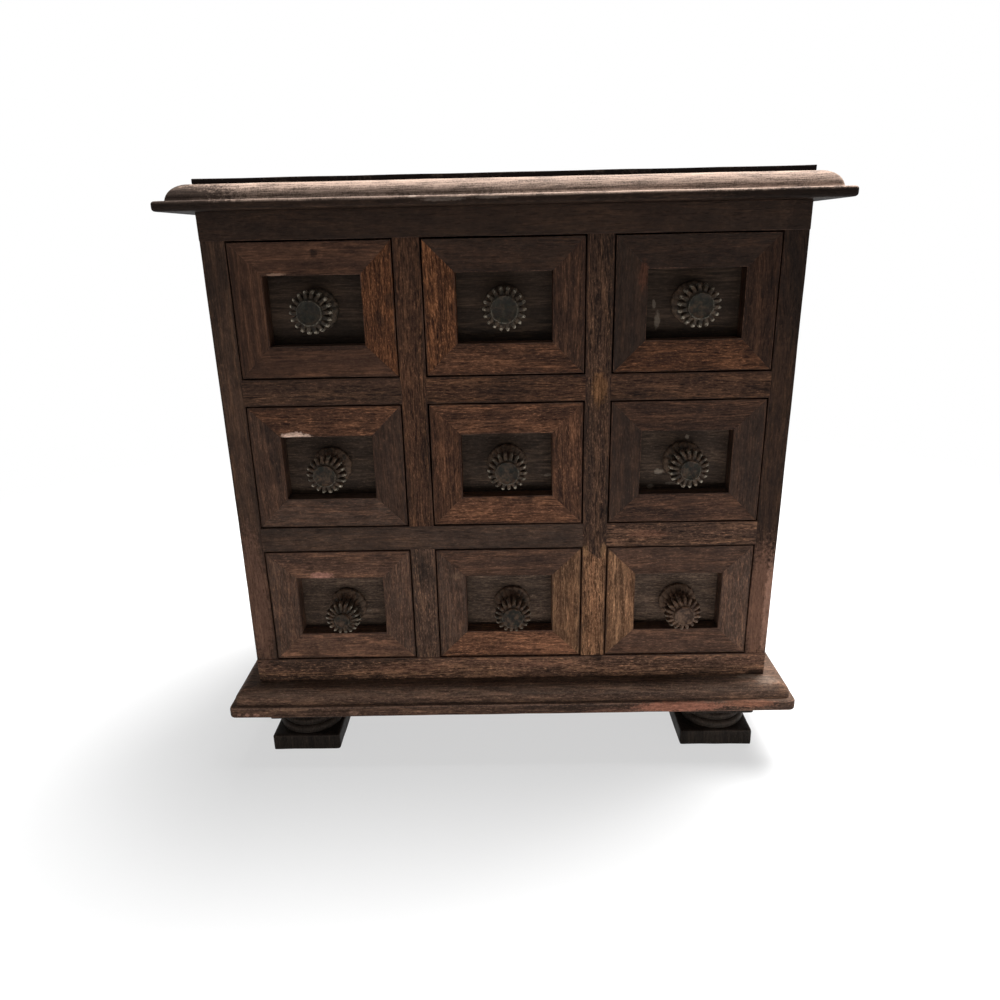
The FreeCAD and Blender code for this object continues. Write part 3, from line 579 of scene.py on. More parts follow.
def moulded(node, seed, material, board_tone, lean, rubbed_places, edge_height, ledge, run, rise,
            corner_round):
    """A board moulded all round, between its CAD node's own corners.

    rubbed_places are the heights of the arrises that are rubbed, and lean is how far its left and
    its right end are off their true height.
    """
    low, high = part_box(node)
    ovolo = (run * run + rise * rise) / (2 * rise)
    crest = ledge + run
    tip = math.degrees(math.asin(run / ovolo))
    section = [(crest + underside_reach, 0), (board_edge + 0.0006, 0)]
    for start, height in ((-90, board_edge), (0, edge_height - board_edge)):
        section += [(board_edge - x, height + z) for x, z in arc((0, 0), board_edge, start, start + 90, 4)]
    section += [(0.5 * ledge + 0.0004, edge_height), (ledge - 0.0003, edge_height)]
    for turn in np.radians(np.linspace(tip - 1.5, 0, 11)):
        section += [(crest - ovolo * math.sin(turn), edge_height + rise - ovolo + ovolo * math.cos(turn))]
    section += [(crest + crown_reach, edge_height + rise)]
    half = np.array((high - low) / 2)
    shares = []
    for axis, corner in ((0, (-1, -1)), (1, (1, -1)), (0, (1, 1)), (1, (-1, 1))):
        near = [share * corner_round / half[axis] for share in (0, 0.27, 0.6, 1, 1.7)]
        count = round(2 * half[axis] / board_step)
        runs = near + np.linspace(near[-1], 2 - near[-1], count)[1:].tolist()
        for run_share in runs + [2 - gap for gap in near[3:0:-1]]:
            share = list(corner)
            share[axis] *= 1 - run_share
            shares.append(share)
    shares = np.array(shares)
    around = len(shares)
    rings = []
    for inset, height in section:
        reach = half[:2] - inset
        radius = max(corner_round - 0.3 * inset, 0.5 * corner_round)
        inner = np.clip(shares * reach, radius - reach, reach - radius)
        away = shares * reach - inner
        away *= radius / np.maximum(np.linalg.norm(away, axis=1, keepdims=True), radius)
        rings.append(np.column_stack([inner + away, np.full(around, height)]))
    points = np.concatenate(rings)
    board = Joinery(node + "_moulded", seed)
    worn_in = (0.00016 + 0.00014 * ripple(points, 0.05, board.chance)).clip(0, 0.0004)
    worn_in += (0.0001 * ripple(points, 0.013, board.chance)).clip(0, 0.0002)
    outward = np.tile(np.where(np.abs(shares) > 0.999, np.sign(shares), 0), (len(section), 1))
    points[:, :2] -= outward * worn_in[:, None]
    points[:, 2] -= np.where(points[:, 2] > edge_height * 0.5, 0.4 * worn_in, 0)
    insets, heights = np.repeat(section, around, axis=0).T
    rim = np.min([
        np.hypot(insets - 0.3 * board_edge, heights - height) for height in rubbed_places], axis=0)
    centre = np.array([(low.x + high.x) / 2, (low.y + high.y) / 2, low.z])
    local = points.copy()
    points[:, 2] += lean[0] + (lean[1] - lean[0]) * (points[:, 0] / half[0] + 1) / 2
    board.add(points + centre, closed_tube(len(section), around), local, 0, board_tone, rim)
    board.finished(material, "cabinet", "moulded_board", node)


top_lean = (-0.0005, 0.0)
base_lean = (0.0, 0.0008)
base_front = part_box("base_board")[0].y * 1000
bare_pink, pale_brown, dusty_grey = (150, 112, 96), (128, 100, 84), (132, 118, 106)
waxed_wood = timber("waxed_wood", (34, 25, 21), (62, 46, 37), (100, 74, 58), rubbed=(168, 128, 108), rub=0.5,
                    dusty=0.22, dust_colour=(150, 128, 112), pores=0.5, wear_and_shade_patches=[
    ((98, base_front, 40.0), (32, 3, 4.6), (142, 94, 76), 0.75),
    ((139, base_front, 41.5), (18, 3, 3.4), (134, 90, 70), 0.65),
    ((60, base_front, 38.0), (20, 3, 2.2), (104, 74, 62), 0.45),
    ((-155, base_front, 37.8), (1.8, 2, 1.3), bare_pink, 0.8),
    ((-149.5, base_front, 37.6), (2.6, 2, 1.3), bare_pink, 0.7),
    ((-160, base_front, 38.0), (1.5, 2, 1.0), bare_pink, 0.7),
    ((-129, base_front, 41.0), (15, 3, 0.9), (140, 108, 86), 0.6),
    ((-92, base_front, 38.5), (4, 3, 2), pale_brown, 0.6),
    ((150, -96, 50.9), (9, 6, 2), dusty_grey, 0.3), ((140, -93, 50.9), (9, 3, 2), dusty_grey, 0.35),
    ((-135, -96, 50.9), (9, 7, 2), (104, 90, 80), 0.3), ((158, -98, 47.5), (6, 7, 4), (128, 96, 76), 0.35)])
base_edge = 0.0069
moulded("base_board", 21, waxed_wood, tone(shade=1.15, figure=0.8), base_lean,
        (base_edge - 0.3 * board_edge, 0.3 * board_edge),
        edge_height=base_edge, ledge=0.0032, run=0.0064, rise=0.0087, corner_round=0.0038)
top_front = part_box("top_board")[0].y * 1000
# The near-black is painted shade for the undersides of the top board's overhanging ends.
lint, overhang_shade_black = (112, 100, 92), (12, 9, 8)
# On the top board the pale rub along the upper arris of the edge is wear and also a painted highlight.
rubbed_wood = timber("rubbed_wood", (22, 15, 11), (36, 26, 20), (56, 41, 32), rubbed=(196, 166, 148),
                     rub=0.45, dusty=1.35, dust_colour=(172, 148, 133), pores=0.5, wear_and_shade_patches=[
    # Painted shade: the top is darkened towards its left end, and the undersides of its overhanging ends are
    # painted near-black. Other patches darken the right part of the edge and the ledge along the front; the
    # rest are lint and a pale speck.
    ((-28, top_front, 317.6), (13, 2, 1.2), lint, 0.4), ((-6, top_front, 318.0), (9, 2, 0.8), lint, 0.35),
    ((146, top_front, 316.5), (60, 3, 4.2), (18, 12, 9), 0.8),
    ((-166, top_front, 320), (50, 80, 12), (30, 23, 19), 0.8),
    ((-90, top_front, 321), (120, 60, 4), (44, 34, 29), 0.4),
    ((-50, top_front + 3.2, 320.2), (150, 2.6, 1.6), (50, 40, 34), 0.75),
    ((-160, 0, 315.1), (12, 150, 0.8), overhang_shade_black, 0.9), ((160, 0, 315.1), (12, 150, 0.8), overhang_shade_black, 0.9),
    ((-42, top_front, 319.2), (2.5, 2, 0.8), (180, 160, 146), 0.7)])
top_edge = 0.0048
moulded("top_board", 22, rubbed_wood, tone(shade=0.6), top_lean, (top_edge - 0.2 * board_edge,),
        edge_height=top_edge, ledge=0.005, run=0.009, rise=0.0078, corner_round=0.0022)
black_board = timber("black_board", (14, 11, 10), (24, 19, 17), (40, 32, 28), rubbed=(120, 108, 98), rub=0.35,
                     dusty=0.12, roughness=0.55, pores=0.5)


def leaning(points, size):
    """The panel lies on the leaning top board."""
    points[:, 2] += top_lean[0] * (1 - points[:, 0] / size[0])


lone_board("top_panel_board", 23, "top_panel", 0, tone(figure=0.3), black_board, "cabinet", "top_panel",
           soft=0.6, shape=leaning)


# --- Sides and back ---------------------------------------------------------------------
# Two thick upright boards with the grain standing, and a thin board let into a rebate behind
# them, held with small nails.
side_stain = timber("side_stain", (34, 24, 19), (60, 42, 33), (92, 64, 48), pores=0.55)
rebate_step = 0.00003
back_low, back_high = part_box("back_panel")
for name, sign in (("left_side", -1), ("right_side", 1)):
    side_low, side_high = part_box(name)
    bite = side_high.x - back_low.x if sign < 0 else back_high.x - side_low.x

    def rebated(points, size, sign=sign, bite=bite, edge=back_low.y - side_low.y):
        """Thin the board behind the edge of the back, which is let into it by a bite."""
        thickness = size[0]
        share = (thickness - bite) / thickness
        behind = points[:, 1] > edge + rebate_step / 3
        across = points[behind, 0]
        points[behind, 0] = across * share if sign < 0 else thickness - (thickness - across) * share

    lone_board(name + "_board", 31 + sign, name, 2, tone(shade=0.5 + 0.03 * sign), side_stain, "cabinet",
               "carcass_wood", soft=(0.8, 0.8, 0.3), shape=rebated, step=0.014,
               cuts=((1, back_low.y), (1, back_low.y + rebate_step)))
back_stain = timber("back_stain", (62, 45, 35), (98, 74, 57), (132, 104, 82), rubbed=(160, 130, 105),
                    dusty=0.2, roughness=0.62, pores=0.35)
lone_board("back_board", 34, "back_panel", 2, tone(), back_stain, "cabinet", "back_board", soft=0.3,
           step=0.02)


# --- Shelves and partitions -------------------------------------------------------------
# Bare sawn boards that the drawers slide on and between. Only their front edges show, when a
# drawer is out.
bare_wood = timber("bare_wood", (88, 62, 42), (142, 106, 74), (178, 140, 102), pores=0.4,
                   roughness=0.72, stain=0.3, joined=False)
for node in ("shelves", "partitions"):
    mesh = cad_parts[node].data
    mesh.materials.clear()
    mesh.materials.append(bare_wood)


# --- Face frame -------------------------------------------------------------------------
# Rails and muntins planed flush and glued on the front edges of the carcass. The top and bottom
# rails stand a little proud, the uprights are let into the bottom rail, and the right muntin is
# pieced out below with a V joint in paler wood.
rows_up = ("bottom", "middle", "top")
columns_across = ("left", "centre", "right")
drawers = [(row, column, "%s_%s_" % (row, column), 10 * up + across)
           for up, row in enumerate(rows_up) for across, column in enumerate(columns_across)]
front_gap = 0.0006
seated = 0.0004
splice_depth = 0.0076
splice_share = 0.71
opening = {}
for row, column, name, number in drawers:
    panel_low, panel_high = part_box(name + "front_panel")
    opening[column] = panel_low.x - front_gap, panel_high.x + front_gap
    opening[row] = panel_low.z - front_gap, panel_high.z + front_gap
stile_low, stile_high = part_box("stiles")
muntin_low, muntin_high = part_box("muntins")
outer_edges = opening["left"][0], opening["right"][1]
left_muntin = opening["left"][1], opening["centre"][0]
right_muntin = opening["centre"][1], opening["right"][0]
lower_rail = opening["bottom"][1], opening["middle"][0]
upper_rail = opening["middle"][1], opening["top"][0]
splice_x = right_muntin[0] + splice_share * (right_muntin[1] - right_muntin[0])
golden_finish = (((56, 34, 22), (110, 69, 45), (154, 101, 66)),
                 ((62, 43, 30), (114, 81, 58), (164, 125, 93)))
frame_stain = timber("frame_stain", (33, 24, 19), (63, 44, 34), (98, 70, 51), gold=golden_finish, pores=0.8,
                     wear_and_shade_patches=[
    # Painted shade: the first patch darkens the frieze and the tops of the uprights under the top board, the
    # second and third darken the stiles towards their tops, and the sixth, at the foot of the right stile, is
    # a painted shadow. The others are worn and stained places; one lightens the left stile lower down.
    ((0, -90, 312), (170, 9, 44), (28, 20, 16), 0.35), ((146, -90, 290), (9, 3, 60), (25, 18, 15), 0.5),
    ((-146, -90, 300), (9, 3, 50), (28, 20, 17), 0.3), ((144, -90, 96), (11, 3, 46), (112, 80, 64), 0.55),
    ((149, -90, 96), (3, 3, 40), (138, 104, 88), 0.5), ((146, -90.6, 52), (8, 3, 3), (22, 16, 13), 0.85),
    ((49, -90, 224), (5, 3, 11), (116, 80, 50), 0.5), ((51, -90, 64), (5, 3, 3), (30, 22, 17), 0.7),
    ((78, -90, 142), (14, 2, 3), (104, 70, 54), 0.5), ((-60, -90, 59), (30, 2, 3.5), (98, 68, 54), 0.45),
    ((15, -90, 60), (26, 2, 3), (104, 72, 58), 0.4), ((118, -90, 57), (18, 2, 5), (40, 31, 26), 0.5),
    ((-146, -90, 104), (9, 3, 56), (96, 69, 56), 0.6), ((-147, -90, 84), (3, 3, 18), (106, 78, 64), 0.45),
    ((43.5, -90, 132.5), (2.2, 3, 5), (136, 102, 72), 0.5),
    ((53.5, -90, 132), (2.2, 3, 5), (136, 102, 72), 0.5),
    ((-48.5, -90, 120), (4, 3, 14), (34, 27, 23), 0.45)])
face = Joinery("face_frame", 41)


def upright(edges, low_z, high_z, board_tone, **options):
    face.board((edges[0], stile_low.y, low_z - seated), (edges[1], stile_high.y, high_z + seated), 2,
               board_tone, soft=(0.6, 0.6, 0.35), **options)


def crossing(first, last, heights, board_tone):
    face.board((first - seated, stile_low.y, heights[0]), (last + seated, stile_high.y, heights[1]), 0,
               board_tone, soft=(0.35, 0.6, 0.6))


def pieced(end):
    """Draw one end of an upright out to a point, or cut the V that takes it."""
    def shape(points, size):
        share = points[:, 0] / size[0]
        drop = splice_depth * np.minimum(share / splice_share, (1 - share) / (1 - splice_share))
        reach = points[:, 2] / size[2] if end == "top" else 1 - points[:, 2] / size[2]
        points[:, 2] -= drop * ((reach - 0.8) / 0.2).clip(0, 1)
    return {"shape": shape, "cuts": ((0, splice_x),), "step": 0.006}


# The shades run from dark at the top rail to light at the bottom rail: partly the boards' own tones, partly
# painted shade under the top board and painted light from the floor.
upright((stile_low.x, outer_edges[0]), stile_low.z, stile_high.z, tone(-0.3, 0.46))
upright((outer_edges[1], stile_high.x), stile_low.z, stile_high.z, tone(0.0, 0.13))
for rail, rail_tone in (("top_rail", tone(-0.3, 0.1, 0.4)), ("bottom_rail", tone(0, 1.95, 0.9))):
    face.board(*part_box(rail), 0, rail_tone, soft=(0.5, 0.7, 0.7), wander=0.0001)
upright(left_muntin, lower_rail[1], muntin_high.z, tone(0.1, 0.45, 0.85))
upright(left_muntin, muntin_low.z, lower_rail[0], tone(-0.55, 1.42, 1.0))
upright(right_muntin, lower_rail[0], muntin_high.z, tone(-0.05, 0.54, 0.95), **pieced("bottom"))
upright(right_muntin, muntin_low.z, lower_rail[0], tone(0.9, 0.62, 0.85), **pieced("top"))
crossing(outer_edges[0], left_muntin[0], upper_rail, tone(0.0, 0.72, 0.6))
crossing(left_muntin[1], right_muntin[0], upper_rail, tone(0.08, 0.42, 0.85))
crossing(right_muntin[1], outer_edges[1], upper_rail, tone(0.05, 0.4, 0.8))
crossing(outer_edges[0], right_muntin[0], lower_rail, tone(-0.6, 0.32, 0.75))
crossing(right_muntin[1], outer_edges[1], lower_rail, tone(0.0, 1.24, 0.95))
face.finished(frame_stain, "cabinet", "frame_wood", "stiles", "top_rail", "bottom_rail", "muntins",
              "cross_rails")


# --- Drawer fronts ----------------------------------------------------------------------
# Each front is a dark board with four flat strips glued round it, mitred at the corners. The
# strips are offcuts, so that some are golden and most are red-brown. Boards and strips are also
# made lighter in the lower rows, which paints the light that rises from the floor.
strip_width = 0.0164
dark_knot, hole_brown = (24, 18, 15), (34, 24, 18)
strip_stain = timber("strip_stain", (36, 25, 20), (67, 46, 35), (104, 72, 53), gold=golden_finish, rub=0.3,
                     pores=0.7, wear_and_shade_patches=[
    ((-58, -90, 271), (3, 3, 5), hole_brown, 0.6), ((-64, -90, 262), (3, 3, 5), hole_brown, 0.6),
    ((-94.6, -90, 294.6), (2.4, 2, 2.4), dark_knot, 0.7),
    ((-113, -90, 201.4), (9, 3, 2.4), (196, 166, 148), 0.9),
    ((-107, -90, 119.4), (8, 2, 2.4), (150, 108, 94), 0.8),
    ((-114.6, -90, 284.6), (6, 3, 0.9), (140, 112, 94), 0.6),
    ((70, -90, 281), (3, 3, 9), (72, 44, 32), 0.6), ((12, -90, 165), (3, 2, 3), dark_knot, 0.5),
    ((98, -90, 199), (16, 3, 0.9), (110, 80, 62), 0.5), ((-30, -90, 118), (5, 2, 2), (100, 78, 62), 0.5)])
cobweb = (116, 104, 92)
recess_stain = timber("recess_stain", (22, 17, 13), (42, 33, 27), (72, 57, 46), rub=0.1, pores=0.7, grime=0.0,
                      wear_and_shade_patches=[
    ((79.5, -80.6, 258), (1.8, 2, 5), cobweb, 0.5), ((77.5, -80.6, 266), (1.2, 2, 3), cobweb, 0.4),
    ((84, -80.6, 175.5), (3.5, 2, 1.8), cobweb, 0.8), ((80, -80.6, 167), (2.2, 2, 1.6), cobweb, 0.8),
    ((92, -80.6, 168.5), (6, 2, 1), cobweb, 0.6), ((98.8, -80.6, 195), (1.5, 2, 1.6), cobweb, 0.6),
    ((22.7, -80.6, 174.5), (4, 2, 1), cobweb, 0.4), ((-86, -80.6, 92), (5, 2, 1.4), cobweb, 0.25)])
# The recessed boards grow lighter row by row towards the bottom: painted light from the floor.
recess_tones_with_painted_light = {
    "top": tone(0, 0.7, 0.3), "middle": tone(-0.15, 1.0), "bottom": tone(-0.35, 2.05, 0.7)}
strip_kinds = {  # how golden and how lively each kind of wood is
    "grey": (-0.75, 0.9), "dull": (-0.3, 0.65), "plain": (0.0, 0.35), "brown": (0.0, 0.6),
    "warm": (0.12, 0.8), "russet": (0.25, 0.8), "golden": (0.45, 0.95), "honey": (0.95, 0.6)}
# The shades grow lighter in the lower rows, partly as painted light from the floor.
offcuts = [  # the wood and shade of the strip above, to the right, below and to the left
    "dull 1.26, grey 0.93, dull 1.72, grey 0.82", "dull 0.70, honey 0.48, warm 1.45, grey 0.68",
    "dull 0.68, grey 0.96, dull 0.88, honey 0.66", "warm 0.76, dull 0.28, grey 0.47, dull 0.50",
    "warm 0.64, warm 0.59, warm 0.82, warm 0.38", "brown 0.50, dull 0.19, brown 0.68, dull 0.15",
    "plain 0.70, golden 0.27, plain 0.50, plain 0.47", "dull 0.05, brown 0.40, warm 0.50, golden 0.33",
    "dull -0.05, brown 0.09, russet 0.33, dull -0.06"]


def mitred(along, inner_side):
    """Cut both ends of a strip at 45 degrees towards its inner side."""
    def shape(points, size):
        across = 2 - along
        inset = points[:, across] if inner_side > 0 else size[across] - points[:, across]
        points[:, along] = inset + (size[along] - 2 * inset) * points[:, along] / size[along]
    return shape


for (row, column, name, number), words in zip(drawers, offcuts):
    above, right, below, left = [
        tone(strip_kinds[kind][0], float(shade), strip_kinds[kind][1])
        for kind, shade in (word.split() for word in words.split(", "))]
    strips_low, strips_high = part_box(name + "front_strips")
    panel_low, panel_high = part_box(name + "front_panel")
    x0, x1, z0, z1 = panel_low.x, panel_high.x, panel_low.z, panel_high.z
    y0, y1 = strips_low.y, strips_high.y
    strips = Joinery(name + "mitred_strips", 100 + number)
    for low, high, along, inner_side, strip_tone in (
            ((x0, y0, z1 - strip_width), (x1, y1, z1), 0, -1, above),
            ((x0, y0, z0), (x1, y1, z0 + strip_width), 0, 1, below),
            ((x1 - strip_width, y0, z0), (x1, y1, z1), 2, -1, right),
            ((x0, y0, z0), (x0 + strip_width, y1, z1), 2, 1, left)):
        soft = (0.7, 0.7, 0.05) if along else (0.05, 0.7, 0.7)
        strips.board(low, high, along, strip_tone, soft=soft, shape=mitred(along, inner_side))
    strips.finished(strip_stain, name + "drawer", "strip_wood", name + "front_strips")
    lone_board(name + "recessed_board", 200 + number, name + "front_panel", 0, recess_tones_with_painted_light[row],
               recess_stain, name + "drawer", "panel_wood", soft=0.3)


# --- Drawer boxes -----------------------------------------------------------------------
# Plain sawn boards: two sides and a back, nailed together and glued to the front, over a thin
# bottom. They are left bare, and are grey and greasy where hands and spices have been.
box_side = 0.006
box_step = 0.016
sawn_wood = timber("sawn_wood", (84, 60, 41), (138, 104, 73), (172, 136, 100), rubbed=(188, 154, 118),
                   pores=0.45, dusty=0.2, dust_colour=(112, 92, 72), roughness=0.72)
for row, column, name, number in drawers:
    low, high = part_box(name + "box")
    box = Joinery(name + "box_boards", 400 + number)
    for x in (low.x, high.x - box_side):
        box.board((x, low.y, low.z), (x + box_side, high.y, high.z), 1, tone(), soft=(0.5, 0.2, 0.5),
                  step=box_step)
    box.board((low.x + box_side, high.y - box_side, low.z), (high.x - box_side, high.y, high.z), 0,
              tone(shade=0.46), soft=(0.1, 0.3, 0.5), step=box_step)
    box.finished(sawn_wood, name + "drawer", "inner_wood", name + "box")
    lone_board(name + "bottom_board", 500 + number, name + "bottom", 0, tone(shade=0.55), sawn_wood,
               name + "drawer", "inner_wood", soft=0.3, step=0.02)


# --- Knobs ------------------------------------------------------------------------------
# Rough iron castings: a fluted spool that flares to a toothed rim, with a worn, slightly dished
# face. A threaded stud goes through the drawer's front, and a small nut holds it inside.
knob_teeth = 18
flute_columns = 10
flute_sharpness = 4.5
knob_profile = [  # radius and height over the panel in millimetres, and depth of the flutes
    (0, 0, 0), (10.7, 0, 0), (11.1, 0.6, 0.01), (11.2, 1.4, 0.01), (10.9, 2.3, 0.02), (9.8, 3.1, 0.05),
    (8.3, 4.2, 0.1), (7.4, 5.7, 0.12), (7.3, 7.2, 0.13), (7.7, 8.9, 0.14), (8.5, 10.6, 0.17),
    (9.5, 12.4, 0.21), (10.4, 13.7, 0.25), (11, 14.6, 0.28), (11.2, 15.5, 0.29), (11.2, 16.5, 0.29),
    (11, 17.4, 0.28), (10.5, 18.2, 0.26), (9.7, 18.9, 0.22), (8.8, 19.4, 0.16), (8, 19.6, 0.09),
    (7.3, 19.6, 0.03), (7.15, 19.9, 0), (7.1, 20.9, 0), (6.9, 21.4, 0), (6.5, 21.6, 0), (6, 21.5, 0),
    (5.2, 21.2, 0), (3, 21, 0), (0, 21, 0)]
rim_start, rim_reach, rim_behind = 0.0079, 0.0031, 0.012
disc_radius, disc_height, disc_back, flange_height = 0.0072, 0.0198, 0.0185, 0.0040
edge_radius, edge_height, edge_wear = 0.0064, 0.0207, 0.57
neck_height, tooth_reach, tooth_front = 0.0090, 0.0105, 0.0192
lump_size, lump_depth, front_depth = 0.004, 0.045, 0.0003
stud_start, stud_rings, stud_radius, stud_sides = 0.0096, 11, 0.00195, 20
thread_pitch, thread_depth = 0.0007, 0.00022
nut_reach, nut_front, nut_back, nut_chamfer = 0.0040, 0.0070, 0.0102, 0.0005
castings = [  # how rusty, how wide the disc is, and how wide the toothed rim is
    (0.6, 0.68, 0.9), (0.7, 0.93, 0.94), (1.0, 0.85, 0.96), (0.5, 0.9, 0.97), (0.45, 0.95, 0.97),
    (0.5, 0.8, 0.99), (0.1, 0.93, 1.0), (0.2, 1.0, 1.0), (0.3, 0.94, 1.0)]


def realized(web, places, copied, finish, **sockets):
    """Put real copies of a mesh at some places, all of one finish."""
    copies = {"Points": places, "Instance": copied, **sockets}
    copies = web.put("GeometryNodeInstanceOnPoints", copies).outputs[0]
    whole = web.put("GeometryNodeRealizeInstances", {0: copies}).outputs[0]
    return web.put("GeometryNodeSetMaterial", {0: whole, "Material": finish}).outputs[0]


def ring_of_copies():
    """A Geometry Nodes tree that repeats one flute round an upright axis and gives it its finish."""
    web, given, result = new_group("ring_of_flutes", "GeometryNodeTree", {
        "Flute": "Geometry", "Count": knob_teeth, "Seam": 0.00002, "Finish": "Material",
    }, {"Knob": "Geometry"})
    points = web.put("GeometryNodePoints", {"Count": given["Count"]}).outputs[0]
    part = web.maths("DIVIDE", web.put("GeometryNodeInputIndex").outputs[0], given["Count"])
    turn = web.put("CombineXYZ", {2: web.times(part, 2 * math.pi)}).outputs[0]
    whole = realized(web, points, given["Flute"], given["Finish"], Rotation=turn)
    whole = web.put("GeometryNodeMergeByDistance", {0: whole, "Distance": given["Seam"]}).outputs[0]
    web.fill(result, {"Knob": whole})
    return web.tree


def run_nodes(mesh, tree, **values):
    """Run a Geometry Nodes tree on a mesh and give the plain mesh that it makes."""
    maker = placed("maker", mesh)
    modifier = maker.modifiers.new("nodes", "NODES")
    modifier.node_group = tree
    for item in tree.interface.items_tree:
        if item.item_type == "SOCKET" and item.in_out == "INPUT" and item.name in values:
            modifier[item.identifier] = values[item.name]
    made = bpy.data.meshes.new_from_object(maker.evaluated_get(bpy.context.evaluated_depsgraph_get()))
    maker.modifiers.remove(modifier)
    bpy.data.objects.remove(maker)
    return made


def iron_material():
    """Dark cast iron: brown with rust above, rubbed bright on the teeth, which are kept duller where they
    face up; the flange is made a paler rust brown, partly painted light.
    """
    material, web, shader = new_material("cast_iron")
    place = web.object_place()
    high, disc, flange, rusty = [web.mark(name) for name in ("high", "disc", "flange", "rusty")]
    pits = web.cloudy(place, 1400.0, 3.0, 0.7)
    lumps = web.cloudy(place, 420.0, 2.0, 0.6)
    colour = web.blended(web.rising(lumps, 0.35, 0.7), (27, 23, 18), (57, 48, 38))
    flat = web.blended(web.rising(lumps, 0.3, 0.75), (17, 16, 12), (29, 28, 21))
    colour = web.blended(disc, colour, flat)
    upward = web.rising(web.upward(), -0.1, 0.7)
    rust = web.rising(web.cloudy(place, 230.0, 4.0, 0.7), 0.38, 0.6)
    rust = web.times(rust, web.line(upward, 0.5, 0.35))
    cover = web.times(web.line(rusty, 1.5, 0.1), rust, clamp=True)
    cover = web.maths("MAXIMUM", cover, web.line(rusty, 4.0, -3.3, clamp=True))
    rust_colour = web.blended(web.rising(lumps, 0.35, 0.65), (54, 37, 28), (100, 76, 60))
    colour = web.blended(cover, colour, rust_colour)
    # Painted light: the flange, which lies in the shade of the strips, is made a paler rust brown, more on
    # the rustier knobs.
    flange_painted_light = web.times(web.times(flange, rusty), web.rising(lumps, 0.25, 0.6), clamp=True)
    colour = web.blended(flange_painted_light, colour, (86, 68, 55))
    bare = web.times(web.rising(high, 0.45, 0.9), web.rising(pits, 0.42, 0.58))
    bare = web.times(bare, web.maths("SUBTRACT", 1.0, cover, clamp=True))
    # Teeth that face up are kept dull, more on the rustier knobs, so that the lower teeth shine most.
    dull_above = web.times(upward, web.times(rusty, 1.8), clamp=True)
    bare = web.times(bare, web.maths("SUBTRACT", 1.0, dull_above))
    colour = web.blended(web.times(bare, 0.9), colour, (186, 176, 158))
    height = web.line(pits, 0.4, lumps)
    bump = web.put("Bump", {"Height": height, "Distance": 0.00045, "Strength": 0.9})
    web.fill(shader, {
        "Base Color": colour, "Metallic": web.times(bare, 0.9), "Specular IOR Level": 0.12,
        "Roughness": web.line(bare, -0.25, web.line(pits, 0.5, 0.35)), "Normal": bump.outputs[0]})
    return material


def lathe(bm, rings):
    """Add a closed shell to a bmesh, from rings of points that all have one length."""
    around = len(rings[0])
    points = [bm.verts.new(point) for ring in rings for point in ring]
    faces = [bm.faces.new([points[index] for index in face]) for face in closed_tube(len(rings), around)]
    bmesh.ops.recalc_face_normals(bm, faces=faces)


def ring(depth, radius, sides, turned=0.0, groove=0.0):
    """Points at one depth behind the panel, where a thread's groove may wind past them."""
    points = []
    for turn in (turned + 2 * math.pi * index / sides for index in range(sides)):
        share = 0.5 + 0.5 * math.cos(2 * math.pi * depth / thread_pitch - turn)
        reach = radius - groove * share
        points.append((reach * math.cos(turn), reach * math.sin(turn), -depth))
    return points


iron = iron_material()
flute_points, flute_marks = [], {"high": [], "disc": [], "flange": []}
for radius, height, depth in knob_profile:
    radius, height = 0.001 * radius, 0.001 * height
    near_rim = min(1, max(0, (radius - rim_start) / rim_reach)) if height > rim_behind else 0
    on_edge = radius > edge_radius and height > edge_height
    for index in range(flute_columns + 1):
        turn = math.pi / knob_teeth * (2 * index / flute_columns - 1)
        hollow = abs(math.sin(turn * knob_teeth / 2)) ** flute_sharpness
        reach = radius * (1 - depth * hollow)
        flute_points.append((reach * math.cos(turn), reach * math.sin(turn), height))
        flute_marks["high"].append(edge_wear if on_edge else (1 - hollow) * near_rim)
        flute_marks["disc"].append(float(radius < disc_radius and height > disc_height))
        flute_marks["flange"].append(float(height < flange_height))
across = flute_columns + 1
flute_faces = [(i * across + j, i * across + j + 1, (i + 1) * across + j + 1, (i + 1) * across + j)
               for i in range(len(knob_profile) - 1) for j in range(flute_columns)]
flute = bpy.data.meshes.new("flute")
flute.from_pydata(flute_points, [], flute_faces)
for name, values in flute_marks.items():
    flute.attributes.new(name, "FLOAT", "POINT").data.foreach_set("value", values)
fluted_knob = run_nodes(flute, ring_of_copies(), Count=knob_teeth, Finish=iron)

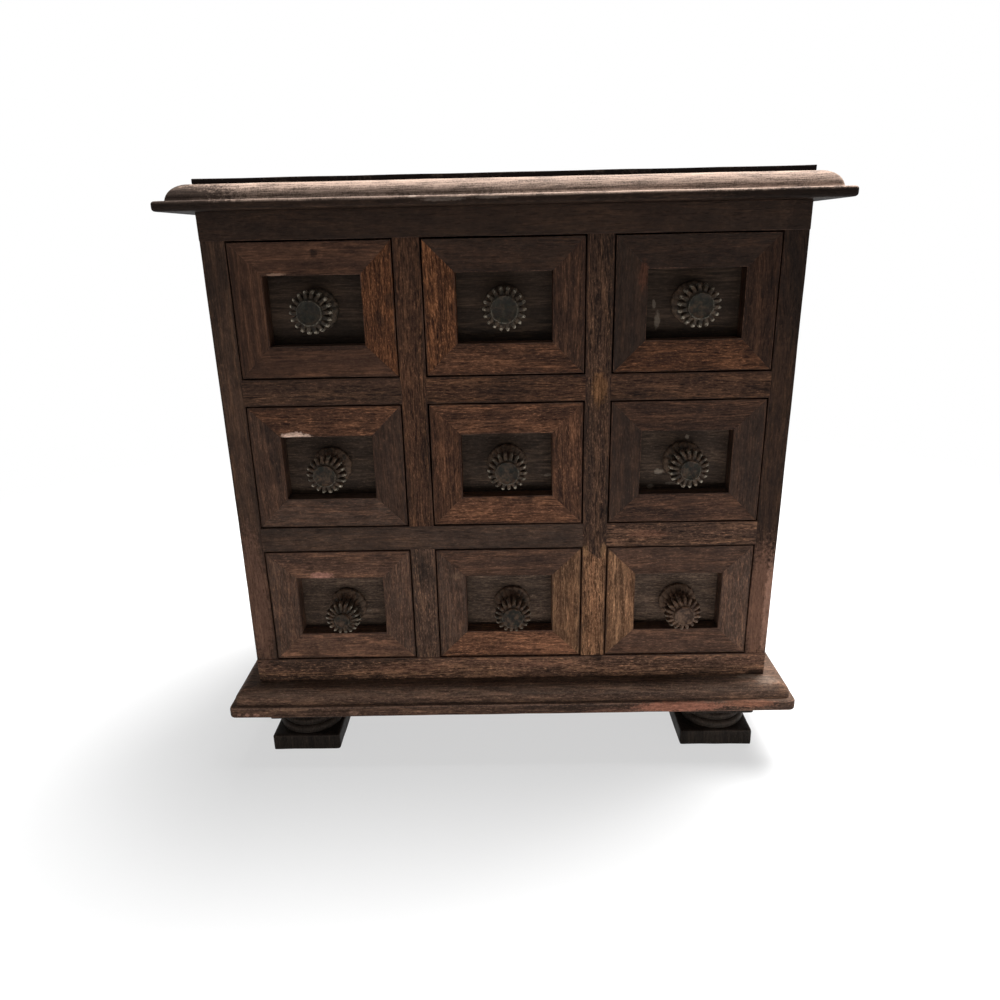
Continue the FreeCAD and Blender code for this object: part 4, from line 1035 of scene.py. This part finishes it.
for (row, column, name, number), (rusty, disc_share, rim_share) in zip(drawers, castings):
    chance = random.Random(300 + number)
    knob_low, knob_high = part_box(name + "knob")
    panel_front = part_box(name + "front_panel")[0].y
    centre = ((knob_low.x + knob_high.x) / 2, panel_front, (knob_low.z + knob_high.z) / 2)
    casting = fluted_knob.copy()
    casting.name = name + "knob_casting"
    points = np.zeros(len(casting.vertices) * 3)
    casting.vertices.foreach_get("co", points)
    x, y, z = points.reshape(-1, 3).T
    taper = ((tooth_reach - np.hypot(x, y)) / (tooth_reach - disc_radius)).clip(0, 1)
    share = np.where(z > disc_back, 1 - (1 - disc_share) * taper, 1)
    share = share * np.where(z > neck_height, rim_share, 1)
    x, y = x * share, y * share
    spin = chance.uniform(0, 2 * math.pi)
    turned = np.column_stack([
        x * math.cos(spin) - y * math.sin(spin), x * math.sin(spin) + y * math.cos(spin), z])
    rough = 0.5 + 0.5 * ripple(turned + chance.uniform(0, 1), lump_size, chance, 8)
    turned[:, :2] *= (1 - lump_depth * rough.clip(0, 1))[:, None]
    turned[:, 2] -= np.where(turned[:, 2] > tooth_front, front_depth * rough.clip(0, 1), 0)
    casting.vertices.foreach_set("co", turned.ravel())
    casting.attributes.new("rusty", "FLOAT", "POINT").data.foreach_set("value", [rusty] * len(turned))
    bm = bmesh.new()
    bm.from_mesh(casting)
    lathe(bm, [ring(stud_start + thread_pitch * step / 4, stud_radius, stud_sides, groove=thread_depth)
               for step in range(stud_rings)])
    spin = chance.uniform(0, math.pi / 3)
    lathe(bm, [ring(nut_front, nut_reach, 6, spin), ring(nut_back - 0.6 * nut_chamfer, nut_reach, 6, spin),
               ring(nut_back, nut_reach - nut_chamfer, 6, spin)])
    bmesh.ops.rotate(bm, verts=bm.verts, matrix=Matrix.Rotation(math.pi / 2, 3, "X"))
    bmesh.ops.translate(bm, verts=bm.verts, vec=centre)
    bm.to_mesh(casting)
    bm.free()
    settle(casting, name + "drawer", "iron", name + "knob")


# --- Nails ------------------------------------------------------------------------------
# Small wire nails with flat heads, driven by hand: round the edge of the back, and through the
# drawers' sides into their backs.
sunk = 0.0002
nail_head, nail_proud, nail_inset, nails_apart = 0.0015, 0.0003, 0.007, 0.047
brad_head, brad_proud, brad_inset = 0.0009, 0.00016, 0.003
brad_heights = (0.18, 0.5, 0.82)
chance = random.Random(71)


def nailing_tree():
    """A Geometry Nodes tree that drives a nail head at each point of a mesh."""
    web, given, result = new_group("row_of_nails", "GeometryNodeTree", {
        "Places": "Geometry", "Head": 0.0012, "Proud": 0.0003, "Facing": (0, 0, 0), "Uneven": 0.15,
        "Seed": 7, "Finish": "Material",
    }, {"Nails": "Geometry"})
    head = web.put("GeometryNodeMeshCone", {
        "Vertices": 12, "Side Segments": 2, "Radius Top": web.times(given["Head"], 0.7),
        "Radius Bottom": given["Head"], "Depth": given["Proud"]}).outputs["Mesh"]
    head = web.put("GeometryNodeTransform", {0: head, "Rotation": given["Facing"]}).outputs[0]
    size = web.put("FunctionNodeRandomValue", {
        2: web.maths("SUBTRACT", 1.0, given["Uneven"]), 3: 1.0, "Seed": given["Seed"]}).outputs[1]
    web.fill(result, {"Nails": realized(web, given["Places"], head, given["Finish"], Scale=size)})
    return web.tree


nailing = nailing_tree()


def nails(name, places, facing, seed, body, head, proud):
    """Drive nails at some places, and make them one piece that moves with a body."""
    marks = bpy.data.meshes.new(name)
    marks.from_pydata(places, [], [])
    made = run_nodes(marks, nailing, Head=head, Proud=proud + sunk, Facing=facing, Seed=seed, Finish=iron)
    made.name = name
    settle(made, body, "iron")


across_back, up_back = [
    np.linspace(low + nail_inset, high - nail_inset, round((high - low) / nails_apart))
    for low, high in ((back_low.x, back_high.x), (back_low.z, back_high.z))]
places = [(x, z) for x in across_back for z in (up_back[0], up_back[-1])]
places += [(x, z) for z in up_back[1:-1] for x in (across_back[0], across_back[-1])]
places = [(x + chance.gauss(0, 0.001), back_high.y - sunk, z + chance.gauss(0, 0.001)) for x, z in places]
nails("back_nails", places, (-math.pi / 2, 0, 0), 7, "cabinet", nail_head, nail_proud)
for row, column, name, number in drawers:
    low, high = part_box(name + "box")
    heights = [low.z + share * (high.z - low.z) for share in brad_heights]
    for side, x, turn in (("left", low.x + sunk, -math.pi / 2), ("right", high.x - sunk, math.pi / 2)):
        places = [(x, high.y - brad_inset + chance.gauss(0, 0.0003), height) for height in heights]
        nails(name + side + "_brads", places, (0, turn, 0), 100 + number, name + "drawer", brad_head,
              brad_proud)
